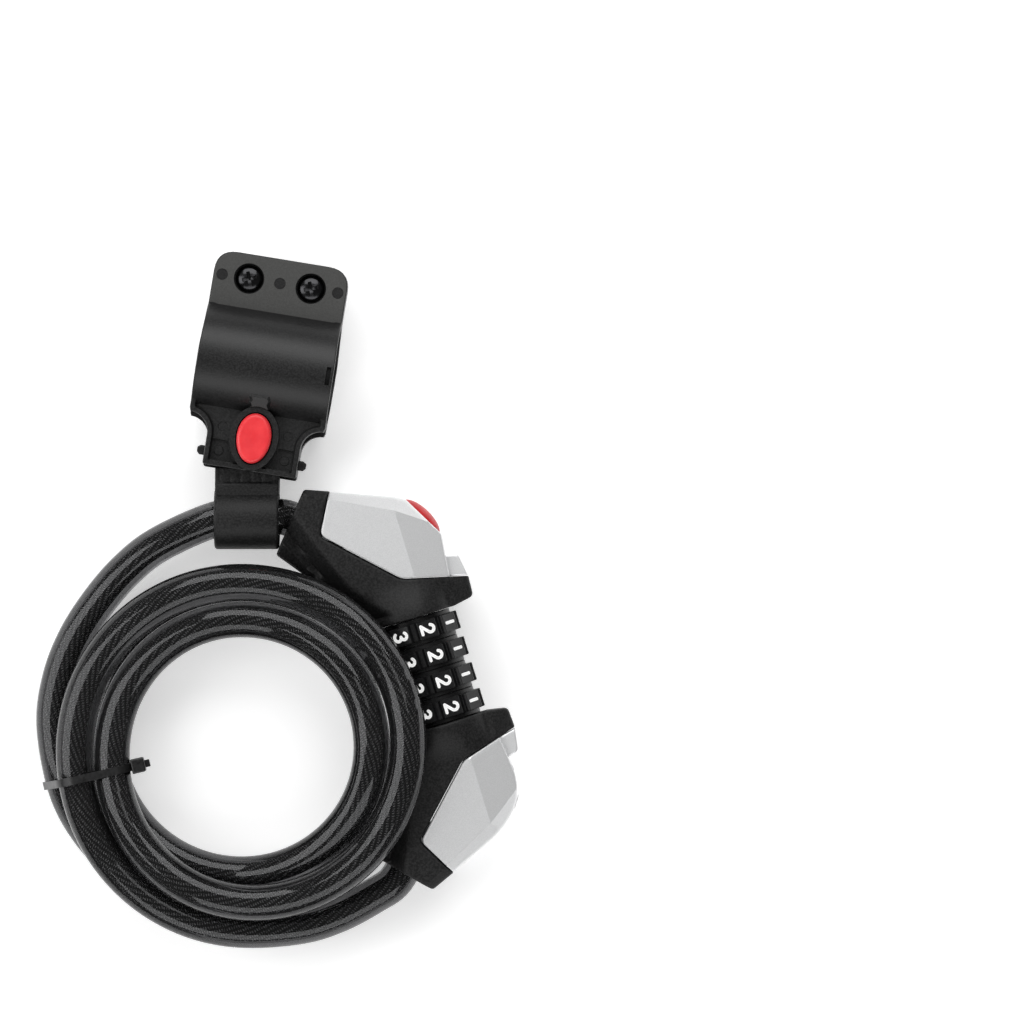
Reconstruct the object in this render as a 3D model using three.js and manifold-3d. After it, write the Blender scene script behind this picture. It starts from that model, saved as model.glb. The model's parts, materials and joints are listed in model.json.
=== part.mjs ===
// A four-dial combination cable lock: a coiled cable, a lock head in two bodies, and a seat post bracket.
// Millimetres, +Z up. The lock lies flat, with the bracket towards +Y and the lock head towards +X.

import * as THREE from 'three';
import { mergeVertices } from 'three/addons/utils/BufferGeometryUtils.js';
import Module from 'manifold-3d';

const wasm = await Module();
wasm.setup();

// Driving dimensions.
const GAP = 0.3;

// Where the assemblies lie, measured from the middle of the bracket and head footprint.
const HEAD = { x: 22.84, y: -32.81, z: 15.7, turn: 17.1 };
const COIL = { x: -36.86, y: -55.45 };
const CLIP = { x: -35.58, y: 16.89, z: 18.2 };
const BRACKET = { x: -29.06, y: 66.45, z: 18.2, turn: -9.32 };

// The cable.
const CABLE_R = 6;
const CABLE_SIDES = 12;
const CABLE_ENTRY = 5;

// The lock head: v points outward from the coil, u along the dial stack, both from the stack's middle.
const DIALS = 4;
const DIAL_PITCH = 8.8;
const DIAL_WIDTH = 8.2;
const DIAL_NECK_R = 13.8;
const DIAL_PAD_R = 14.85;
const DIAL_BORE_R = 11.2;
const DIGITS = 10;
const PAD_WIDTH = 6;
const PAD_TOP = 6.4;
const PAD_FOOT = 8.2;
const SLEEVE_R = 10.9;
const SLEEVE_WIDTH = 7.8;
const FLANGE_R = 7;
const RELIEF_R = 8.6;
const COLLAR_FACE = 17.8;
const COLLAR_END = 25;
const COLLAR_R = 15.5;
const SHELL_HALF = 12.3;
const CORE_HALF = 10.4;
const COVER_HALF = 12.8;
const EXIT = { v: -27, u: 59.5 };
const EXIT_OUT = { v: -0.727, u: 0.687 };
const BORE_DEPTH = 20;
const FERRULE = { r: 5.9, start: 6, end: 18.5 };
const PIN_R = 1.3;
const PIN_DEPTH = 12;
const INNER_EDGE = [[-39, 56.6], [-20, 30], [-13.1, 11.7]];
const INNER_CHAMFER = 5.8;
const BARREL = { bore: 4.2, r: 6.1, low: -17.3, high: 24 };
const BOLT = { r: 3.7, low: -30.5, high: 17, reach: 8, toothLength: 2.6 };
const SLOT_WIDTH = 3.4;
const TOOTH_WIDTH = 2.6;
const STRIP = { width: 2.6, thickness: 0.35, length: 32 };
const UNLOCK = { v: 13.4, u: 48.6, long: 8, wide: 5.2, top: 3.6, bottom: -4 };
const UNLOCK_OUT = { v: 0.873, u: 0.487 };
const UNLOCK_WELL = { floor: -6.3, mouth: 9, play: 0.6 };
const UNLOCK_HOLE = { floor: -3, mouth: 9, play: 0.3 };

// The coil: two tilted rings that stand for the wound cable.
const COIL_TILT = 9.1;
const FRONT_RING = { inner: 33.4, outer: 60.3, half: 6.2, chamfer: 3.5, z: 27.8 };
const BACK_RING = { inner: 34.6, outer: 47.9, half: 5.9, chamfer: 2.5, z: 14.4 };
const RING_STEPS = 48;

// The cable tie, across the coil at this direction from the coil's middle.
const TIE = { turn: 193, width: 2.5, head: 4.6 };

// The clip on the cable, and the swivel in the bracket.
const RING = { r: 10, bore: 8, length: 21 };
const NECK = { left: -10.2, right: 10.7, top: 16.6, half: 5.8 };
const SWIVEL = { b: -29, pin: 2, eye: 6, tongueHalf: 2.8 };
const BLOCK = { halfWidth: 12.3, low: -31.2, high: -20.4, half: 6.5, slotHalf: 3.1, slotEnd: -22.4 };

// The bracket: a runs along the seat post, b towards the flange, both from the seat post's middle.
const CLAMP = { r: 18.2, bore: 15.7, halfLength: 22.2, split: 0.15 };
const LINER = { r: 15.4, bore: 13.7, halfLength: 20 };
const FLANGE = { halfWidth: 21.9, low: 12, end: 35, corner: 7, top: 6 };
const HOUSING = { halfWidth: 15.3, end: -34.7, shoulder: -24, corner: -18.4, reach: 21.8, top: 11 };
const CAVITY = { halfWidth: 12.6, high: -20, half: 7.6 };
const SCREW = { a: 10.15, b: 27, head: 4, pocket: 4.9, floor: 3.2, shank: 1.9, hole: 2.3, tip: -5.6 };
const NUT = { r: 3.9, pocket: 4.3, low: -5.8, high: -3.2 };
const BUTTON = { b: -24, halfA: 5.65, halfB: 8.2, top: 15, bottom: 9.7 };
const BUTTON_RIM = { halfA: 8, halfB: 10.4, top: 13, tabHalf: 2.9, tabEnd: -10.4, bottom: 8 };
const POCKET = { floor: 8.6, near: 5.5, far: 13.6 };
const TAB = { b: -30.3, half: 1.65, reach: 18, low: 1, high: 5 };
const LEAF = { halfA: 5, low: -30.5, high: -21, bottom: 6.8, top: 7.2 };

const FINISH = {
  blackPlastic: { color: 0x1b1b1c, roughness: 0.55, metalness: 0 },
  silverPaint: { color: 0xc4c5c7, roughness: 0.35, metalness: 0.6 },
  redPlastic: { color: 0xf0383f, roughness: 0.3, metalness: 0 },
  steel: { color: 0x8d8f92, roughness: 0.35, metalness: 1 },
  blackSteel: { color: 0x161616, roughness: 0.25, metalness: 0.8 },
  sheath: { color: 0x1f2021, roughness: 0.25, metalness: 0 },
  rubber: { color: 0x242424, roughness: 0.8, metalness: 0 },
};

// Solids.

function solidOf(geometry) {
  const bare = geometry.clone();
  bare.deleteAttribute('normal');
  bare.deleteAttribute('uv');
  const merged = mergeVertices(bare, 1e-4);
  const vertProperties = new Float32Array(merged.attributes.position.array);
  const triVerts = new Uint32Array(merged.index.array);
  return new wasm.Manifold(new wasm.Mesh({ numProp: 3, vertProperties, triVerts }));
}

function geometryOf(manifold) {
  const mesh = manifold.getMesh();
  const geometry = new THREE.BufferGeometry();
  geometry.setAttribute('position', new THREE.BufferAttribute(new Float32Array(mesh.vertProperties), 3));
  geometry.setIndex(Array.from(mesh.triVerts));
  geometry.computeVertexNormals();
  return geometry;
}

function join(...geometries) {
  return geometryOf(geometries.map(solidOf).reduce((whole, piece) => whole.add(piece)));
}

function cut(geometry, ...tools) {
  return geometryOf(tools.map(solidOf).reduce((whole, tool) => whole.subtract(tool), solidOf(geometry)));
}

function box(x0, x1, y0, y1, z0, z1) {
  const geometry = new THREE.BoxGeometry(x1 - x0, y1 - y0, z1 - z0);
  return geometry.translate((x0 + x1) / 2, (y0 + y1) / 2, (z0 + z1) / 2);
}

// A cylinder along +Z.
function rod(radius, low, high, sides = 32) {
  const geometry = new THREE.CylinderGeometry(radius, radius, high - low, sides);
  return geometry.rotateX(Math.PI / 2).translate(0, 0, (low + high) / 2);
}

// A ring of a rectangular section around Z, chamfered on its outer and inner edges.
function ring(inner, outer, low, high, chamfer = 0, steps = 40) {
  const corners = chamfer > 0
    ? [[inner + chamfer, low], [outer - chamfer, low], [outer, low + chamfer], [outer, high - chamfer],
      [outer - chamfer, high], [inner + chamfer, high], [inner, high - chamfer], [inner, low + chamfer]]
    : [[inner, low], [outer, low], [outer, high], [inner, high]];
  const profile = [...corners, corners[0]].map(([r, z]) => new THREE.Vector2(r, z));
  return new THREE.LatheGeometry(profile, steps).rotateX(Math.PI / 2);
}

// A closed outline. A corner written [x, y, r] is rounded with its curve starting r from the corner.
function outline(corners) {
  const shape = new THREE.Shape();
  corners.forEach(([x, y, r = 0], i) => {
    const corner = new THREE.Vector2(x, y);
    const before = new THREE.Vector2(...corners.at(i - 1).slice(0, 2)).sub(corner).setLength(r);
    const following = corners[(i + 1) % corners.length];
    const after = new THREE.Vector2(...following.slice(0, 2)).sub(corner).setLength(r);
    const start = before.add(corner);
    const end = after.add(corner);
    if (i === 0) shape.moveTo(start.x, start.y);
    else shape.lineTo(start.x, start.y);
    if (r > 0) shape.quadraticCurveTo(x, y, end.x, end.y);
  });
  shape.closePath();
  return shape;
}

// A slab of an outline, with its edges bevelled inward.
function slab(shape, low, high, bevel = 0, bevelSegments = 2) {
  const geometry = new THREE.ExtrudeGeometry(shape, {
    depth: high - low - 2 * bevel,
    curveSegments: 5,
    bevelEnabled: bevel > 0,
    bevelThickness: bevel,
    bevelSize: bevel,
    bevelOffset: -bevel,
    bevelSegments,
  });
  return geometry.translate(0, 0, low + bevel);
}

function ellipse(halfX, halfY) {
  return new THREE.Shape().absellipse(0, 0, halfX, halfY, 0, 2 * Math.PI);
}

// Moves a geometry so that its +Z axis points along a direction.
function aim(geometry, direction, x = 0, y = 0, z = 0) {
  const way = direction.clone().normalize();
  const turn = new THREE.Quaternion().setFromUnitVectors(new THREE.Vector3(0, 0, 1), way);
  return geometry.applyQuaternion(turn).translate(x, y, z);
}

function part(name, geometry, finish) {
  const mesh = new THREE.Mesh(geometry, new THREE.MeshStandardMaterial(finish));
  mesh.name = name;
  return mesh;
}

function group(place, ...children) {
  const made = new THREE.Group();
  made.position.set(place.x, place.y, place.z ?? 0);
  made.rotation.z = THREE.MathUtils.degToRad(place.turn ?? 0);
  made.add(...children);
  return made;
}

// The lock head. x is v and y is u; side is 1 on the upper body and -1 on the lower one.

const SHELL_CORNERS = [
  [-15.4, 17.8], [14.9, 17.8], [21.7, 19], [22.1, 25.7], [2.9, 30.7], [-18.3, 51.8],
  [-11, 65], [-18.8, 68.2], [-35, 51], [-20, 30],
];
const COVER_CORNERS = [
  [22.1, 26.1], [20.6, 34], [20.2, 40], [18.2, 46.5, 2], [13.4, 52.4, 2],
  [7, 57.6], [-10.7, 64.7], [-17.8, 52], [3.1, 31.1],
];
const CORE_CORNERS = [
  [17.4, 24], [17.4, 43], [12.4, 49], [5.4, 54.8], [-10.4, 61.6], [-22, 56], [-22, 44], [0, 24],
];
const CAVITY_CORNERS = [
  [17.8, 24], [17.8, 43.2], [12.7, 49.4], [5.6, 55.2], [-10.3, 62], [-23, 56], [-23, 44], [0, 24],
];

function sided(corners, side) {
  return outline(corners.map(([x, y, r]) => [x, side * y, r]));
}

function alongExit(geometry, side, from) {
  const out = new THREE.Vector3(EXIT_OUT.v, side * EXIT_OUT.u, 0);
  return aim(geometry, out, EXIT.v + from * EXIT_OUT.v, side * (EXIT.u + from * EXIT_OUT.u), 0);
}

function alongStack(geometry) {
  return geometry.rotateX(-Math.PI / 2);
}

function pinHole(side, radius) {
  const x = EXIT.v - PIN_DEPTH * EXIT_OUT.v;
  const y = side * (EXIT.u - PIN_DEPTH * EXIT_OUT.u);
  return rod(radius, -CORE_HALF, CORE_HALF, 12).translate(x, y, 0);
}

// A bar that chamfers the shell's edge between two corners, and a little past them.
function chamferBar([x0, y0], [x1, y1], z) {
  const c = INNER_CHAMFER;
  const along = new THREE.Vector3(x1 - x0, y1 - y0, 0);
  const bar = slab(outline([[c, 0], [0, c], [-c, 0], [0, -c]]), -c, along.length() + c);
  along.normalize();
  const up = new THREE.Vector3(0, 0, 1);
  const basis = new THREE.Matrix4().makeBasis(up.clone().cross(along), up, along);
  return bar.applyMatrix4(basis).translate(x0, y0, z);
}

function innerChamfers(side) {
  const [a, b, c] = INNER_EDGE.map(([x, y]) => [x, side * y]);
  return [-SHELL_HALF, SHELL_HALF].flatMap((z) => [chamferBar(a, b, z), chamferBar(b, c, z)]);
}

function shellSolid(side) {
  const face = side > 0 ? [COLLAR_FACE, COLLAR_END] : [-COLLAR_END, -COLLAR_FACE];
  return join(
    cut(slab(sided(SHELL_CORNERS, side), -SHELL_HALF, SHELL_HALF, 1.2), ...innerChamfers(side)),
    slab(sided(CORE_CORNERS, side), -CORE_HALF, CORE_HALF),
    alongStack(rod(COLLAR_R, face[0], face[1], 48)),
  );
}

function upperShell() {
  return cut(
    shellSolid(1),
    alongExit(rod(CABLE_R + 0.4, -BORE_DEPTH, 4, 24), 1, 0),
    pinHole(1, PIN_R + GAP),
    alongStack(rod(BARREL.r + GAP, COLLAR_FACE - 1, BARREL.high + GAP)),
    unlockShape(UNLOCK_WELL.floor, UNLOCK_WELL.mouth, UNLOCK_WELL.play),
  );
}

function lowerShell() {
  return cut(
    shellSolid(-1),
    alongExit(rod(CABLE_R + 0.4, -BORE_DEPTH, 4, 24), -1, 0),
    pinHole(-1, PIN_R + GAP),
    alongStack(rod(BOLT.r + GAP, BOLT.low - GAP, -COLLAR_FACE + 1, 24)),
  );
}

function coverSolid(side) {
  return cut(
    slab(sided(COVER_CORNERS, side), -COVER_HALF, COVER_HALF, 1.2),
    slab(sided(CAVITY_CORNERS, side), -CORE_HALF - GAP, CORE_HALF + GAP),
  );
}

// The oval unlocking button's column, measured along its own push axis.
function unlockShape(bottom, top, extra = 0, bevel = 0) {
  const column = slab(ellipse(UNLOCK.wide + extra, UNLOCK.long + extra), bottom, top, bevel, 3);
  const out = new THREE.Vector3(UNLOCK_OUT.v, UNLOCK_OUT.u, 0);
  column.rotateZ(Math.PI / 2);
  const turn = new THREE.Matrix4().makeBasis(
    new THREE.Vector3(-UNLOCK_OUT.u, UNLOCK_OUT.v, 0),
    new THREE.Vector3(0, 0, 1),
    out,
  );
  return column.applyMatrix4(turn).translate(UNLOCK.v, UNLOCK.u, 0);
}

function ferrule(side) {
  return cut(
    alongExit(rod(FERRULE.r, -FERRULE.end, -FERRULE.start, 24), side, 0),
    pinHole(side, PIN_R + GAP),
  );
}

function pin(side) {
  const x = EXIT.v - PIN_DEPTH * EXIT_OUT.v;
  const y = side * (EXIT.u - PIN_DEPTH * EXIT_OUT.u);
  return rod(PIN_R, -CORE_HALF + GAP, CORE_HALF - GAP, 12).translate(x, y, 0);
}

// The tube that the bolt slides in, with a slot along its outward side for the bolt's teeth.
function barrel() {
  return cut(
    alongStack(rod(BARREL.r, BARREL.low, BARREL.high)),
    alongStack(rod(BARREL.bore, BARREL.low - 1, BARREL.high - 2.5, 24)),
    box(0, BARREL.r + 1, BARREL.low - 1, COLLAR_FACE, -SLOT_WIDTH / 2, SLOT_WIDTH / 2),
  );
}

function bolt() {
  const teeth = dialPlaces().map((u) => box(
    1, BOLT.reach, u + 0.6, u + 0.6 + BOLT.toothLength, -TOOTH_WIDTH / 2, TOOTH_WIDTH / 2,
  ));
  return join(alongStack(rod(BOLT.r, BOLT.low, BOLT.high, 24)), ...teeth);
}

function detentStrip() {
  const near = BARREL.r + 0.1;
  const half = STRIP.length / 2;
  return box(-near - STRIP.thickness, -near, -half, half, -STRIP.width / 2, STRIP.width / 2);
}

function dialPlaces() {
  return Array.from({ length: DIALS }, (_, i) => ((DIALS - 1) / 2 - i) * DIAL_PITCH);
}

// One number pad of a dial: a block that narrows outward.
function pad(index) {
  const angle = Math.PI / 2 - (2 * Math.PI * index) / DIGITS;
  const foot = DIAL_NECK_R - 1.5;
  const shape = outline([
    [-PAD_FOOT / 2, foot], [PAD_FOOT / 2, foot], [PAD_FOOT / 2, DIAL_NECK_R], [PAD_TOP / 2, DIAL_PAD_R],
    [-PAD_TOP / 2, DIAL_PAD_R], [-PAD_FOOT / 2, DIAL_NECK_R],
  ]);
  return slab(shape, -PAD_WIDTH / 2, PAD_WIDTH / 2).rotateZ(-angle);
}

function dial(u) {
  const neck = ring(DIAL_BORE_R, DIAL_NECK_R, -DIAL_WIDTH / 2, DIAL_WIDTH / 2, 0, 4 * DIGITS);
  const pads = Array.from({ length: DIGITS }, (_, i) => pad(i));
  return alongStack(join(neck, ...pads)).translate(0, u, 0);
}

function codeSleeve(u) {
  const half = SLEEVE_WIDTH / 2;
  const profile = [
    [FLANGE_R, -half], [SLEEVE_R, -half], [SLEEVE_R, half],
    [RELIEF_R, half], [RELIEF_R, -0.3], [FLANGE_R, -0.3],
    [FLANGE_R, -half],
  ].map(([r, z]) => new THREE.Vector2(r, z));
  const turned = alongStack(new THREE.LatheGeometry(profile, 32).rotateX(Math.PI / 2));
  const notch = box(0, RELIEF_R, -half - 1, half + 1, -SLOT_WIDTH / 2, SLOT_WIDTH / 2);
  return cut(turned, notch).translate(0, u, 0);
}

function head() {
  const dials = dialPlaces().flatMap((u, i) => [
    part(`dial_${i + 1}`, dial(u), FINISH.blackPlastic),
    part(`code_sleeve_${i + 1}`, codeSleeve(u), FINISH.steel),
  ]);
  const upperCover = cut(coverSolid(1), unlockShape(UNLOCK_HOLE.floor, UNLOCK_HOLE.mouth, UNLOCK_HOLE.play));
  return group(
    HEAD,
    part('upper_shell', upperShell(), FINISH.blackPlastic),
    part('upper_cover', upperCover, FINISH.silverPaint),
    part('unlock_button', unlockShape(UNLOCK.bottom, UNLOCK.top, 0, 1.6), FINISH.redPlastic),
    part('upper_ferrule', ferrule(1), FINISH.steel),
    part('upper_ferrule_pin', pin(1), FINISH.steel),
    part('dial_barrel', barrel(), FINISH.steel),
    part('detent_strip', detentStrip(), FINISH.steel),
    ...dials,
    part('lower_shell', lowerShell(), FINISH.blackPlastic),
    part('lower_cover', coverSolid(-1), FINISH.silverPaint),
    part('lower_ferrule', ferrule(-1), FINISH.steel),
    part('lower_ferrule_pin', pin(-1), FINISH.steel),
    part('locking_bolt', bolt(), FINISH.steel),
  );
}

// The cable. Angles run counterclockwise from +X around the coil's middle.

function coilRing(name, size) {
  const geometry = ring(size.inner, size.outer, -size.half, size.half, size.chamfer, RING_STEPS);
  geometry.rotateY(-THREE.MathUtils.degToRad(COIL_TILT));
  return part(name, geometry.translate(COIL.x, COIL.y, size.z), FINISH.sheath);
}

function aroundCoil(degrees, radius, z) {
  const angle = THREE.MathUtils.degToRad(degrees);
  return new THREE.Vector3(COIL.x + radius * Math.cos(angle), COIL.y + radius * Math.sin(angle), z);
}

function exitPoint(side, beyond) {
  const v = EXIT.v + beyond * EXIT_OUT.v;
  const u = side * (EXIT.u + beyond * EXIT_OUT.u);
  const turn = THREE.MathUtils.degToRad(HEAD.turn);
  return new THREE.Vector3(v, u, 0).applyAxisAngle(new THREE.Vector3(0, 0, 1), turn)
    .add(new THREE.Vector3(HEAD.x, HEAD.y, HEAD.z));
}

function tube(points, steps) {
  const section = new THREE.Shape();
  for (let i = 0; i < CABLE_SIDES; i += 1) {
    const angle = (2 * Math.PI * i) / CABLE_SIDES;
    section[i === 0 ? 'moveTo' : 'lineTo'](CABLE_R * Math.cos(angle), CABLE_R * Math.sin(angle));
  }
  section.closePath();
  const extrudePath = new THREE.CatmullRomCurve3(points);
  return new THREE.ExtrudeGeometry(section, { steps, extrudePath, bevelEnabled: false });
}

const LEAD_POINTS = [
  aroundCoil(243, 55, 7.3), aroundCoil(232, 56.6, 7.3), aroundCoil(218, 58.6, 7.3),
  aroundCoil(204, 60.6, 7.3),
  aroundCoil(190, 61.6, 7.3), aroundCoil(176, 62.2, 7.4), aroundCoil(162, 63.4, 8),
  aroundCoil(149, 64.3, 9.2),
  aroundCoil(136, 65.5, 11.2), aroundCoil(124, 67.6, 13.6), aroundCoil(113, 69.6, 15.8),
  new THREE.Vector3(CLIP.x - 11, CLIP.y - 0.5, 17.8), new THREE.Vector3(CLIP.x, CLIP.y + 0.6, 18.1),
  new THREE.Vector3(CLIP.x + 7.5, CLIP.y + 0.7, 17.6), exitPoint(1, 2), exitPoint(1, -CABLE_ENTRY),
];

const TAIL_POINTS = [
  exitPoint(-1, -CABLE_ENTRY), exitPoint(-1, 4), aroundCoil(311, 66.2, 15.6), aroundCoil(299, 64.6, 15.5),
  aroundCoil(287, 63.2, 15.4), aroundCoil(275, 62, 15.4), aroundCoil(264, 61.6, 15.3),
];

// The tie's band, as an outline in the plane across the coil: x outward from the coil's middle, y up.
function cableTie() {
  const outer = outline([
    [32.4, 0.15, 2.5], [69, 0.15, 5], [69, 12.6, 6], [63.3, 23.4, 2], [57.8, 28, 2],
    [36.5, 31.4, 2], [30.5, 26.9, 2],
  ]);
  const inner = outline([
    [33.4, 1.15, 2], [68, 1.15, 4.5], [68, 12.3, 5.5], [62.4, 22.6, 1.5], [57.4, 27, 1.5], [36.8, 30.3, 1.5],
    [31.6, 26.4, 1.5],
  ]);
  const half = TIE.width / 2;
  const band = cut(slab(outer, -half, half), slab(inner, -half - 1, half + 1));
  const lock = box(32.4 - TIE.head, 32.4, 21 - TIE.head, 21, -TIE.head / 2, TIE.head / 2);
  const tie = join(band, lock);
  const angle = THREE.MathUtils.degToRad(TIE.turn);
  tie.rotateX(Math.PI / 2).rotateZ(angle);
  return tie.translate(COIL.x, COIL.y, 0);
}

// The clip and the swivel.

function clip() {
  const swivelX = BRACKET.x + alongB(SWIVEL.b).x - CLIP.x;
  const swivelY = BRACKET.y + alongB(SWIVEL.b).y - CLIP.y;
  const hoop = rod(RING.r, -RING.length / 2, RING.length / 2, 40).rotateY(Math.PI / 2);
  const neck = box(NECK.left, NECK.right, RING.bore, NECK.top, -NECK.half, NECK.half);
  const tongue = box(
    swivelX - SWIVEL.eye, swivelX + SWIVEL.eye, RING.bore, swivelY, -SWIVEL.tongueHalf, SWIVEL.tongueHalf,
  );
  const eye = rod(SWIVEL.eye, -SWIVEL.tongueHalf, SWIVEL.tongueHalf, 24).translate(swivelX, swivelY, 0);
  const solid = cut(
    join(hoop, neck, tongue, eye),
    rod(RING.bore, -RING.length, RING.length, 32).rotateY(Math.PI / 2),
    rod(SWIVEL.pin + GAP, -RING.r, RING.r, 16).translate(swivelX, swivelY, 0),
  );
  return group(CLIP, part('cable_clip', solid, FINISH.blackPlastic));
}

function alongB(b) {
  return new THREE.Vector3(0, b, 0).applyAxisAngle(
    new THREE.Vector3(0, 0, 1),
    THREE.MathUtils.degToRad(BRACKET.turn),
  );
}

function swivelPin() {
  const end = BLOCK.half - 0.2;
  return rod(SWIVEL.pin, -end, end, 16).translate(0, SWIVEL.b, 0);
}

function swivelBlock() {
  const w = BLOCK.halfWidth;
  return cut(
    box(-w, w, BLOCK.low, BLOCK.high, -BLOCK.half, BLOCK.half),
    box(-w - 1, w + 1, BLOCK.low - 1, BLOCK.slotEnd, -BLOCK.slotHalf, BLOCK.slotHalf),
    rod(SWIVEL.pin + GAP, -BLOCK.half - 1, BLOCK.half + 1, 16).translate(0, SWIVEL.b, 0),
  );
}

// The bracket. x is a and y is b; side is 1 on the front half and -1 on the back one.

function seatPostCylinder(radius, halfLength, steps = 48) {
  return rod(radius, -halfLength, halfLength, steps).rotateY(Math.PI / 2);
}

function halfSpace(side) {
  const far = 60;
  const [low, high] = side > 0 ? [-far, CLAMP.split] : [-CLAMP.split, far];
  return box(-far, far, -far, far, low, high);
}

function between(side, low, high) {
  return side > 0 ? [low, high] : [-high, -low];
}

function clampHalf(side) {
  const { halfWidth, end, shoulder, corner, reach } = HOUSING;
  const housing = new THREE.Shape();
  housing.moveTo(-halfWidth, end);
  housing.lineTo(halfWidth, end);
  housing.lineTo(halfWidth, shoulder);
  housing.quadraticCurveTo(halfWidth, corner, reach, corner);
  housing.lineTo(reach, corner + 4);
  housing.lineTo(-reach, corner + 4);
  housing.lineTo(-reach, corner);
  housing.quadraticCurveTo(-halfWidth, corner, -halfWidth, shoulder);
  housing.closePath();
  const flange = outline([
    [-FLANGE.halfWidth, FLANGE.low], [FLANGE.halfWidth, FLANGE.low],
    [FLANGE.halfWidth, FLANGE.end, FLANGE.corner], [-FLANGE.halfWidth, FLANGE.end, FLANGE.corner],
  ]);
  return cut(
    join(
      seatPostCylinder(CLAMP.r, CLAMP.halfLength),
      slab(flange, ...between(side, 0, FLANGE.top)),
      slab(housing, ...between(side, 0, HOUSING.top)),
    ),
    halfSpace(side),
    seatPostCylinder(CLAMP.bore, CLAMP.halfLength + 1),
    box(-CAVITY.halfWidth, CAVITY.halfWidth, HOUSING.end - 1, CAVITY.high, -CAVITY.half, CAVITY.half),
    ...[-SCREW.a, SCREW.a].map((a) => rod(SCREW.hole, -40, 40, 20).translate(a, SCREW.b, 0)),
  );
}

function clampFront() {
  const rim = slab(ellipse(BUTTON_RIM.halfA, BUTTON_RIM.halfB), BUTTON_RIM.bottom, BUTTON_RIM.top, 0.6)
    .translate(0, BUTTON.b, 0);
  const { tabHalf, tabEnd, bottom, top } = BUTTON_RIM;
  const tab = box(-tabHalf, tabHalf, BUTTON.b, tabEnd, bottom, top + 1.4);
  const hooks = [-1, 1].map((way) => box(
    Math.min(way * 14.5, way * TAB.reach), Math.max(way * 14.5, way * TAB.reach),
    TAB.b - TAB.half, TAB.b + TAB.half, TAB.low, TAB.high,
  ));
  const pockets = [-1, 1].flatMap((way) => [[-33.1, -26.8], [-25.4, -19.2]].map(([low, high]) => box(
    Math.min(way * POCKET.near, way * POCKET.far), Math.max(way * POCKET.near, way * POCKET.far),
    low, high, POCKET.floor, 20,
  )));
  const screwPockets = [-SCREW.a, SCREW.a].map(
    (a) => rod(SCREW.pocket, SCREW.floor, 20, 24).translate(a, SCREW.b, 0),
  );
  const well = slab(ellipse(BUTTON.halfA + GAP, BUTTON.halfB + GAP), CAVITY.half - 1, 20)
    .translate(0, BUTTON.b, 0);
  return cut(join(cut(clampHalf(1), ...pockets), rim, tab, ...hooks), well, bore(), ...screwPockets);
}

function bore() {
  return seatPostCylinder(CLAMP.bore, CLAMP.halfLength + 1);
}

function clampBack() {
  const nutPockets = [-SCREW.a, SCREW.a].map(
    (a) => rod(NUT.pocket, -20, NUT.high + GAP, 6).translate(a, SCREW.b, 0),
  );
  return cut(clampHalf(-1), ...nutPockets);
}

function liner(side) {
  return cut(
    seatPostCylinder(LINER.r, LINER.halfLength, 40),
    seatPostCylinder(LINER.bore, LINER.halfLength + 1, 40),
    halfSpace(side),
  );
}

function clampScrew(a) {
  const headTop = FLANGE.top + 0.2;
  const slotFloor = headTop - 1.3;
  const solid = cut(
    join(
      rod(SCREW.head, SCREW.floor + GAP, headTop - 0.8, 24),
      rod(SCREW.head - 0.9, SCREW.floor + GAP, headTop, 24),
      rod(SCREW.shank, SCREW.tip, SCREW.floor + 1, 16),
    ),
    box(-2.4, 2.4, -0.55, 0.55, slotFloor, headTop + 1),
    box(-0.55, 0.55, -2.4, 2.4, slotFloor, headTop + 1),
  );
  return solid.translate(a, SCREW.b, 0);
}

function clampNut(a) {
  const hole = rod(SCREW.hole, NUT.low - 1, NUT.high + 1, 16);
  return cut(rod(NUT.r, NUT.low, NUT.high, 6), hole).translate(a, SCREW.b, 0);
}

function releaseButton() {
  const oval = ellipse(BUTTON.halfA, BUTTON.halfB);
  return slab(oval, BUTTON.bottom, BUTTON.top, 1.1, 3).translate(0, BUTTON.b, 0);
}

function bracket() {
  const { halfA, low, high, bottom, top } = LEAF;
  return group(
    BRACKET,
    part('clamp_front', clampFront(), FINISH.blackPlastic),
    part('clamp_back', clampBack(), FINISH.blackPlastic),
    part('liner_front', liner(1), FINISH.rubber),
    part('liner_back', liner(-1), FINISH.rubber),
    part('clamp_screw_left', clampScrew(-SCREW.a), FINISH.blackSteel),
    part('clamp_screw_right', clampScrew(SCREW.a), FINISH.blackSteel),
    part('clamp_nut_left', clampNut(-SCREW.a), FINISH.steel),
    part('clamp_nut_right', clampNut(SCREW.a), FINISH.steel),
    part('release_button', releaseButton(), FINISH.redPlastic),
    part('latch_spring', box(-halfA, halfA, low, high, bottom, top), FINISH.steel),
    part('swivel_block', swivelBlock(), FINISH.blackPlastic),
    part('swivel_pin', swivelPin(), FINISH.steel),
  );
}

const lock = new THREE.Group();
lock.add(
  head(),
  coilRing('coil_front', FRONT_RING),
  coilRing('coil_back', BACK_RING),
  part('cable_lead', tube(LEAD_POINTS, 26), FINISH.sheath),
  part('cable_tail', tube(TAIL_POINTS, 8), FINISH.sheath),
  part('cable_tie', cableTie(), FINISH.blackPlastic),
  clip(),
  bracket(),
);

export default lock;
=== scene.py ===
import json
import math

import bmesh
import bpy
import numpy as np
from mathutils import Matrix, Vector
from mathutils.geometry import delaunay_2d_cdt


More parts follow.
